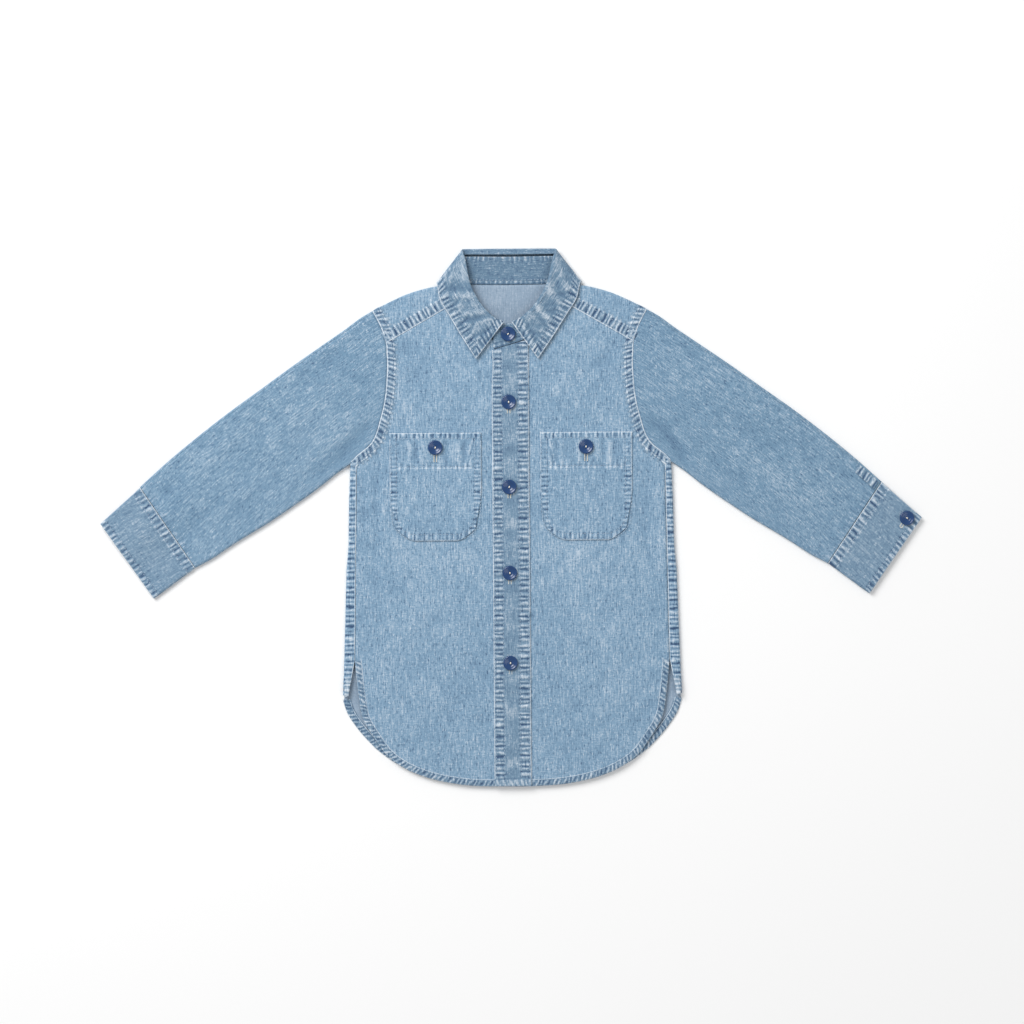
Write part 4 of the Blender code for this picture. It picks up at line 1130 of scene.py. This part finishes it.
def collar_stand(threads):
    left, right = stand_half(STAND_LEFT_END, ON_TOP, 120), stand_half(STAND_RIGHT_END, UPPER, 120)
    pairs = np.concatenate([right[:0:-1] * [-1, 1, 1], left])
    v = np.linspace(0, 1, 26)[None, :, None]
    grid = pairs[:, :1] + (pairs[:, 1:] - pairs[:, :1]) * v
    s = run_of(grid[:, 0])[:, None]
    t = run_across(grid)
    ridge = puckers(s, t, 4.8, 2.5)
    from_top = t[:, -1:] - t
    reach = ramp(t, 0.2, 1.2) * ramp(t, 6.5, 4)
    reach_top = ramp(from_top, 7, 3)
    height = 0.3 * ridge * reach + 0.3 * puckers(s, from_top, 5.2, 6.0) * reach_top - 0.2 * bump(t, 4.6, 0.5)
    wear_and_shade = 0.5 * ridge * reach + 0.45 * puckers(s, from_top, 5.2, 6.0) * reach_top - 0.4 * bump(t, 4.6, 0.5)
    # A dark line just above the neck seam is painted shade where the stand meets the body. The stand is also a
    # little darker all over, and its top edge is rubbed pale
    wear_and_shade = wear_and_shade - 0.4 * bump(t, 1.0, 0.5) + 0.35 * bump(t, 2.6, 0.7) - 0.12 + 0.5 * bump(from_top, 0, 0.7)
    out = normals(grid)
    grid = grid - out * height[..., None] * np.sign(out[60, 5, 2]) * -1
    fabric = np.stack(np.broadcast_arrays(t, s), axis=-1)
    made = piece("collar_stand", [(grid, fabric, wear_and_shade)], (COLLAR_LOOK,), node="collar_stand")
    threads.sew(grid[75:165, 4] + [0, 0, CLOTH / 2], (0, 0, 1))
    return made


def leaf_sections():
    stations = []
    for number, station in enumerate(COLLAR):
        _, top, roll, edge = np.array(station)
        front = ramp(number, LAST_BEHIND - 1, FIRST_IN_FRONT)
        start = top + (roll - top) * 0.3 + np.array((0, 0, 1.6 * front))
        past = roll + (edge - roll) * 0.06 + np.array((0, 0, -2.2 + 2.6 * front))
        near = roll + (edge - roll) * 0.3
        far = roll + (edge - roll) * 0.65
        if number <= LAST_BEHIND:
            near[2] = far[2] = edge[2]
        stations.append([start, roll, past, near, far, edge])
    return np.array(stations)


def collar_leaf(threads):
    stations = leaf_sections()
    t = run_of(stations[:, -1] * 0.6 + stations[:, 3] * 0.4)
    half = through(t, stations, np.linspace(0, t[-1], 150))
    sections = np.concatenate([half[:0:-1] * [-1, 1, 1], half])
    v = np.concatenate([np.linspace(0, 0.28, 14), np.linspace(0.3, 0.78, 18), np.linspace(0.8, 1, 16)])
    knots = np.array((0, 0.12, 0.2, 0.4, 0.7, 1.0))
    grid = through(knots, sections.transpose(1, 0, 2), v).transpose(1, 0, 2)
    below_fold = np.clip(COLLAR[0][2][1] - grid[..., 1], 0, None)
    grid[..., 0] -= COLLAR_LEAN * below_fold * ramp(grid[..., 2], 4, 6)
    run = run_across(grid)
    from_edge = run[:, -1:] - run
    around = run_of(grid[:, -1])[:, None]
    down = run_across(grid.transpose(1, 0, 2)).T
    from_front = np.minimum(down, down[-1:] - down)
    nearest = np.minimum(from_edge, from_front)
    by_edge = ramp(from_front - from_edge, -2, 2)
    ridge = puckers(around, from_edge, 4.7, 1.4) * by_edge
    ridge = ridge + puckers(from_edge, from_front, 4.5, 3.9) * (1 - by_edge)
    reach = ramp(nearest, 0.1, 1.2) * ramp(nearest, 13, 7.0)
    rows = bump(nearest, 1.6, 0.5) + bump(nearest, 7.4, 0.55)
    pulls = wave(around + 0.4 * from_edge, 17, 2.0) * ramp(from_edge, 7, 12) * ramp(from_edge, 42, 22)
    short_pulls = wave(around - 0.6 * from_edge, 9.5, 4.0) * ramp(from_edge, 8, 12) * ramp(from_edge, 26, 14)
    pulls = pulls + 0.6 * short_pulls
    in_front = ramp(grid[..., 2], 5, 6.5)
    height = 0.34 * ridge * reach - 0.22 * rows + 0.42 * pulls * in_front + 0.2 * bump(nearest, 0.2, 1.0)
    # The edges are rubbed pale. The colour also follows the pulls as painted shade and light, darker in their
    # troughs
    wear_and_shade = worn(ridge) * reach - 0.35 * rows + 0.4 * pulls * in_front + 0.9 * bump(nearest, 0, 0.8)
    # Painted shade: the dark line behind the neck, in the fold between the stand and the leaf. The leaf in
    # front is a little paler just past its roll
    wear_and_shade = wear_and_shade + 0.25 * bump(run, 8.5, 3.0) * in_front - 0.3 * bump(run, 3.4, 0.8) * (1 - in_front)
    out = normals(grid)
    front_row = grid.shape[0] - 20
    if out[front_row, -8, 2] < 0:
        out = -out
    lying = np.where(grid[..., 2] < 1.2, 0.0, 1)
    grid = grid + out * (height * lying)[..., None]
    grid[..., 2] = np.maximum(grid[..., 2], 0.5)
    fabric = np.stack(np.broadcast_arrays(from_edge, around), axis=-1)
    up_first = bool(np.cross(grid[0, 1] - grid[0, 0], grid[1, 0] - grid[0, 0])[2] > 0)
    front_cell = np.cross(grid[-20, -8] - grid[-20, -9], grid[-19, -9] - grid[-20, -9])[2] > 0
    up = up_first == front_cell
    made = piece("collar_leaf", [(grid, fabric, wear_and_shade)], (COLLAR_LOOK,), top_up=up, node="collar_leaf")
    for side_rows in (slice(6, 125), slice(-125, -6)):
        rows_there = np.arange(grid.shape[0])[side_rows]
        for depth in (1.6, 7.4):
            k = [int(np.argmin(abs(from_edge[r] - depth))) for r in rows_there]
            path = grid[rows_there, k] + [0, 0, CLOTH / 2]
            threads.sew(path[path[:, 2] > 6], (0, 0, 1))
    return made


# Buttons, buttonholes


def lathe(name, profile, turns, look, centre):
    """A turned solid from a profile of (radius, height), closed on its axis at both ends."""
    angles = np.linspace(0, 2 * math.pi, turns, endpoint=False)
    rings = profile[1:-1]
    points = [(0, 0, profile[0][1])]
    for r, z in rings:
        points += [(r * math.cos(a), r * math.sin(a), z) for a in angles]
    points.append((0, 0, profile[-1][1]))
    faces = []
    for j in range(turns):
        k = (j + 1) % turns
        faces.append((0, 1 + j, 1 + k))
        for ring in range(len(rings) - 1):
            a, b = 1 + ring * turns, 1 + (ring + 1) * turns
            faces.append((a + j, b + j, b + k, a + k))
        last = 1 + (len(rings) - 1) * turns
        faces.append((last + j, len(points) - 1, last + k))
    return object_of(name, np.array(points, float) + centre, faces, (look,))


# Radius and height from the middle of the face, over the rim, to the middle of the underside
BUTTON_PROFILE = (
    (0, 1.15), (0.9, 1.12), (1.9, 1.14), (2.7, 1.3), (3.3, 1.62), (3.8, 1.78), (4.5, 1.86), (5.2, 2.12),
    (5.8, 2.42), (6.25, 2.44), (6.65, 2.2), (6.92, 1.75), (7.0, 1.3), (6.85, 0.8), (6.4, 0.3), (5.8, 0.05),
    (0, 0)
)


def drilled(button, centre, spin):
    """Cuts the button's two holes."""
    drills = []
    for way in (-1, 1):
        x = centre[0] + way * 1.25 * math.cos(spin)
        y = centre[1] + way * 1.25 * math.sin(spin)
        bpy.ops.mesh.primitive_cylinder_add(
            vertices=20, radius=0.62 * MM, depth=8 * MM, location=(x * MM, y * MM, (centre[2] + 1) * MM)
        )
        drills.append(bpy.context.object)
        cut = button.modifiers.new("hole", "BOOLEAN")
        cut.object = drills[-1]
    evaluated = button.evaluated_get(bpy.context.evaluated_depsgraph_get())
    mesh = bpy.data.meshes.new_from_object(evaluated)
    button.modifiers.clear()
    button.data = mesh
    for drill in drills:
        bpy.data.objects.remove(drill)
    mesh.shade_smooth()
    mesh.set_sharp_from_angle(angle=math.radians(50))


def button(name, x, y, base, spin, flip=False):
    """A two-hole button with a fish-eye hollow, and the thread that holds it."""
    centre = (x, y, base)
    profile = BUTTON_PROFILE
    if flip:
        profile = tuple((r, 2.5 - z) for r, z in BUTTON_PROFILE)[::-1]
    made = lathe(f"{name}_turned", profile, 48, BUTTON_LOOK, centre)
    drilled(made, centre, spin)
    settle(made, name)
    threads = Threads(f"{name}_thread")
    way = np.array((math.cos(spin), math.sin(spin), 0))
    side = np.array((-way[1], way[0], 0))
    level = base + (1.15 if not flip else 1.35)
    up = np.array((0, 0, -1 if flip else 1))
    for offset in (-0.34, 0, 0.34):
        middle = np.array((x, y, level)) + side * offset
        span = np.linspace(-1.45, 1.45, 9)
        arch = 0.34 * (1 - (span / 1.45) ** 2)
        path = middle + way * span[:, None] + up * arch[:, None]
        threads.sew(path, up, pitch=9, stitch=2.0 if offset else 2.2, radius=0.27, sink=0.1)
    sewn = threads.finish(CREAM)
    return made, sewn


def buttonhole(threads, x, y, z, angle, length=15.0):
    """A worked buttonhole: close stitches across both lips and at its ends."""
    way = np.array((math.cos(angle), math.sin(angle), 0))
    side = np.array((-way[1], way[0], 0))
    middle = np.array((x, y, z))
    for along in np.arange(-length / 2, length / 2, 0.62):
        for lip in (-1, 1):
            start = middle + way * along + side * lip * 0.25
            path = np.array([start, start + side * lip * 0.8, start + side * lip * 1.6])
            threads.sew(path, (0, 0, 1), pitch=9, stitch=1.15, radius=0.26, sink=0.02)
    for end in (-1, 1):
        start = middle + way * end * length / 2 - side * 1.5
        path = np.array([start, start + side * 1.5, start + side * 3])
        threads.sew(path, (0, 0, 1), pitch=9, stitch=2.6, radius=0.34, sink=0.0)


def buttons():
    holes = Threads("buttonholes")
    spins = (0.55, 1.5, 1.2, 1.62, 1.45)
    top = ON_TOP + CLOTH / 2 + 0.3
    names = ("button_collar", "button_front_1", "button_front_2", "button_front_3", "button_front_4")
    for name, y, spin in zip(names, BUTTONS_Y, spins):
        button(name, BUTTON_LINE, y, top, spin)
        level = ON_TOP + CLOTH / 2 + float(relief(np.array((BUTTON_LINE, y))))
        if name != "button_collar":
            buttonhole(holes, BUTTON_LINE, y - 2.5, level - 0.1, math.pi / 2, 16)
    for name, side in (("button_pocket_left", LEFT), ("button_pocket_right", RIGHT)):
        x = side * POCKET_X
        button(name, x, POCKET_BUTTON_Y, top, 1.3)
        level = ON_TOP + CLOTH / 2 + float(relief(np.array((x, POCKET_BUTTON_Y))))
        buttonhole(holes, x, POCKET_HOLE_Y, level - 0.1, math.pi / 2, 17)
    x, y = cuff_point((10.3,), 1 - 11.4 / 50)[0]
    button("button_cuff_left", x, y, UPPER + CLOTH / 2 + 0.3, 2.4)
    button("button_cuff_right", -x, y, 0, 0.8, flip=True)
    along = np.subtract(SLEEVE_LOW[-1], SLEEVE_TOP[-1])
    angle = math.atan2(along[1], along[0])
    hole_at = np.array((x, y)) + np.array((math.cos(angle), math.sin(angle))) * 2.0
    buttonhole(holes, hole_at[0], hole_at[1], UPPER + CLOTH / 2, angle, 17)
    return holes.finish(CREAM)


# The whole shirt

BODY_THREADS = Threads("body_stitches")
TRIM_THREADS = Threads("trim_stitches")

back = back_panel()
line = joined(dense(BACK_HEM, 1.0), dense(BACK_VENT, 1.0))
line = np.concatenate([line[:0:-1] * [-1, 1], line])
back_hem = piece("back_panel_hem", [hem(line, 0.85, 4.0, floor=0.0)], (TRIM,), thickness=0.3)
yoke_body, yoke_front, yoke_back = yoke(BODY_THREADS)
left_front, left_hem = front_panel("front_left", LEFT, 15.5, BODY_THREADS)
right_front, right_hem = front_panel("front_right", RIGHT, -13.5, BODY_THREADS)
placket = front_placket(TRIM_THREADS)
stand = collar_stand(TRIM_THREADS)
leaf = collar_leaf(TRIM_THREADS)
sides = (("left", LEFT, LEFT_SLEEVE_CREASES, 1.0), ("right", RIGHT, RIGHT_SLEEVE_CREASES, 6.0))
for word, side, creases, seed in sides:
    sleeve(f"sleeve_{word}", side, creases)
    armhole_seam(f"armhole_seam_{word}", side, seed, BODY_THREADS)
    cuff(f"cuff_{word}", side, TRIM_THREADS, seed + 2)
    sleeve_vent_binding(f"sleeve_vent_binding_{word}", side)
    pocket(f"pocket_{word}", side, TRIM_THREADS, seed + 4)
    side_gusset(f"side_gusset_{word}", side)
buttons()
BODY_THREADS.finish(THREAD)
TRIM_THREADS.finish(THREAD)


# Floor, light and camera

bpy.ops.mesh.primitive_plane_add(size=8, location=(0, 0, -0.0002))
floor = bpy.context.object
floor.name = "floor"
floor.data.materials.append(plain("pale_floor", (0.93, 0.93, 0.93), 0.9, 0.1))

bpy.context.scene.view_settings.view_transform = "Standard"
world = bpy.data.worlds.new("studio")
bpy.context.scene.world = world
world.use_nodes = True
world.node_tree.nodes["Background"].inputs["Color"].default_value = (1, 1, 1, 1)
world.node_tree.nodes["Background"].inputs["Strength"].default_value = 0.52


def area_light(name, place, target, size, power):
    data = bpy.data.lights.new(name, "AREA")
    data.shape = "SQUARE"
    data.size = size
    data.energy = power
    light = bpy.data.objects.new(name, data)
    light.location = place
    light.rotation_euler = Vector(np.subtract(target, place)).to_track_quat("-Z", "Y").to_euler()
    bpy.context.scene.collection.objects.link(light)


area_light("key", (-1.3, 1.5, 1.9), (0, 0, 0), 1.5, 62)
area_light("fill", (1.4, -0.9, 2.4), (0, 0, 0), 1.6, 10)

camera_data = bpy.data.cameras.new("camera")
camera_data.sensor_width = 36
camera_data.lens = 100
camera = bpy.data.objects.new("camera", camera_data)
roll = -0.0075
view_width = 0.95 * 1024 * MM
shift = np.array((0.83, 5.2)) * MM
height = view_width * camera_data.lens / camera_data.sensor_width
camera.location = (shift[0], shift[1], height + 0.005)
camera.rotation_euler = (0, 0, roll)
bpy.context.scene.collection.objects.link(camera)
bpy.context.scene.camera = camera
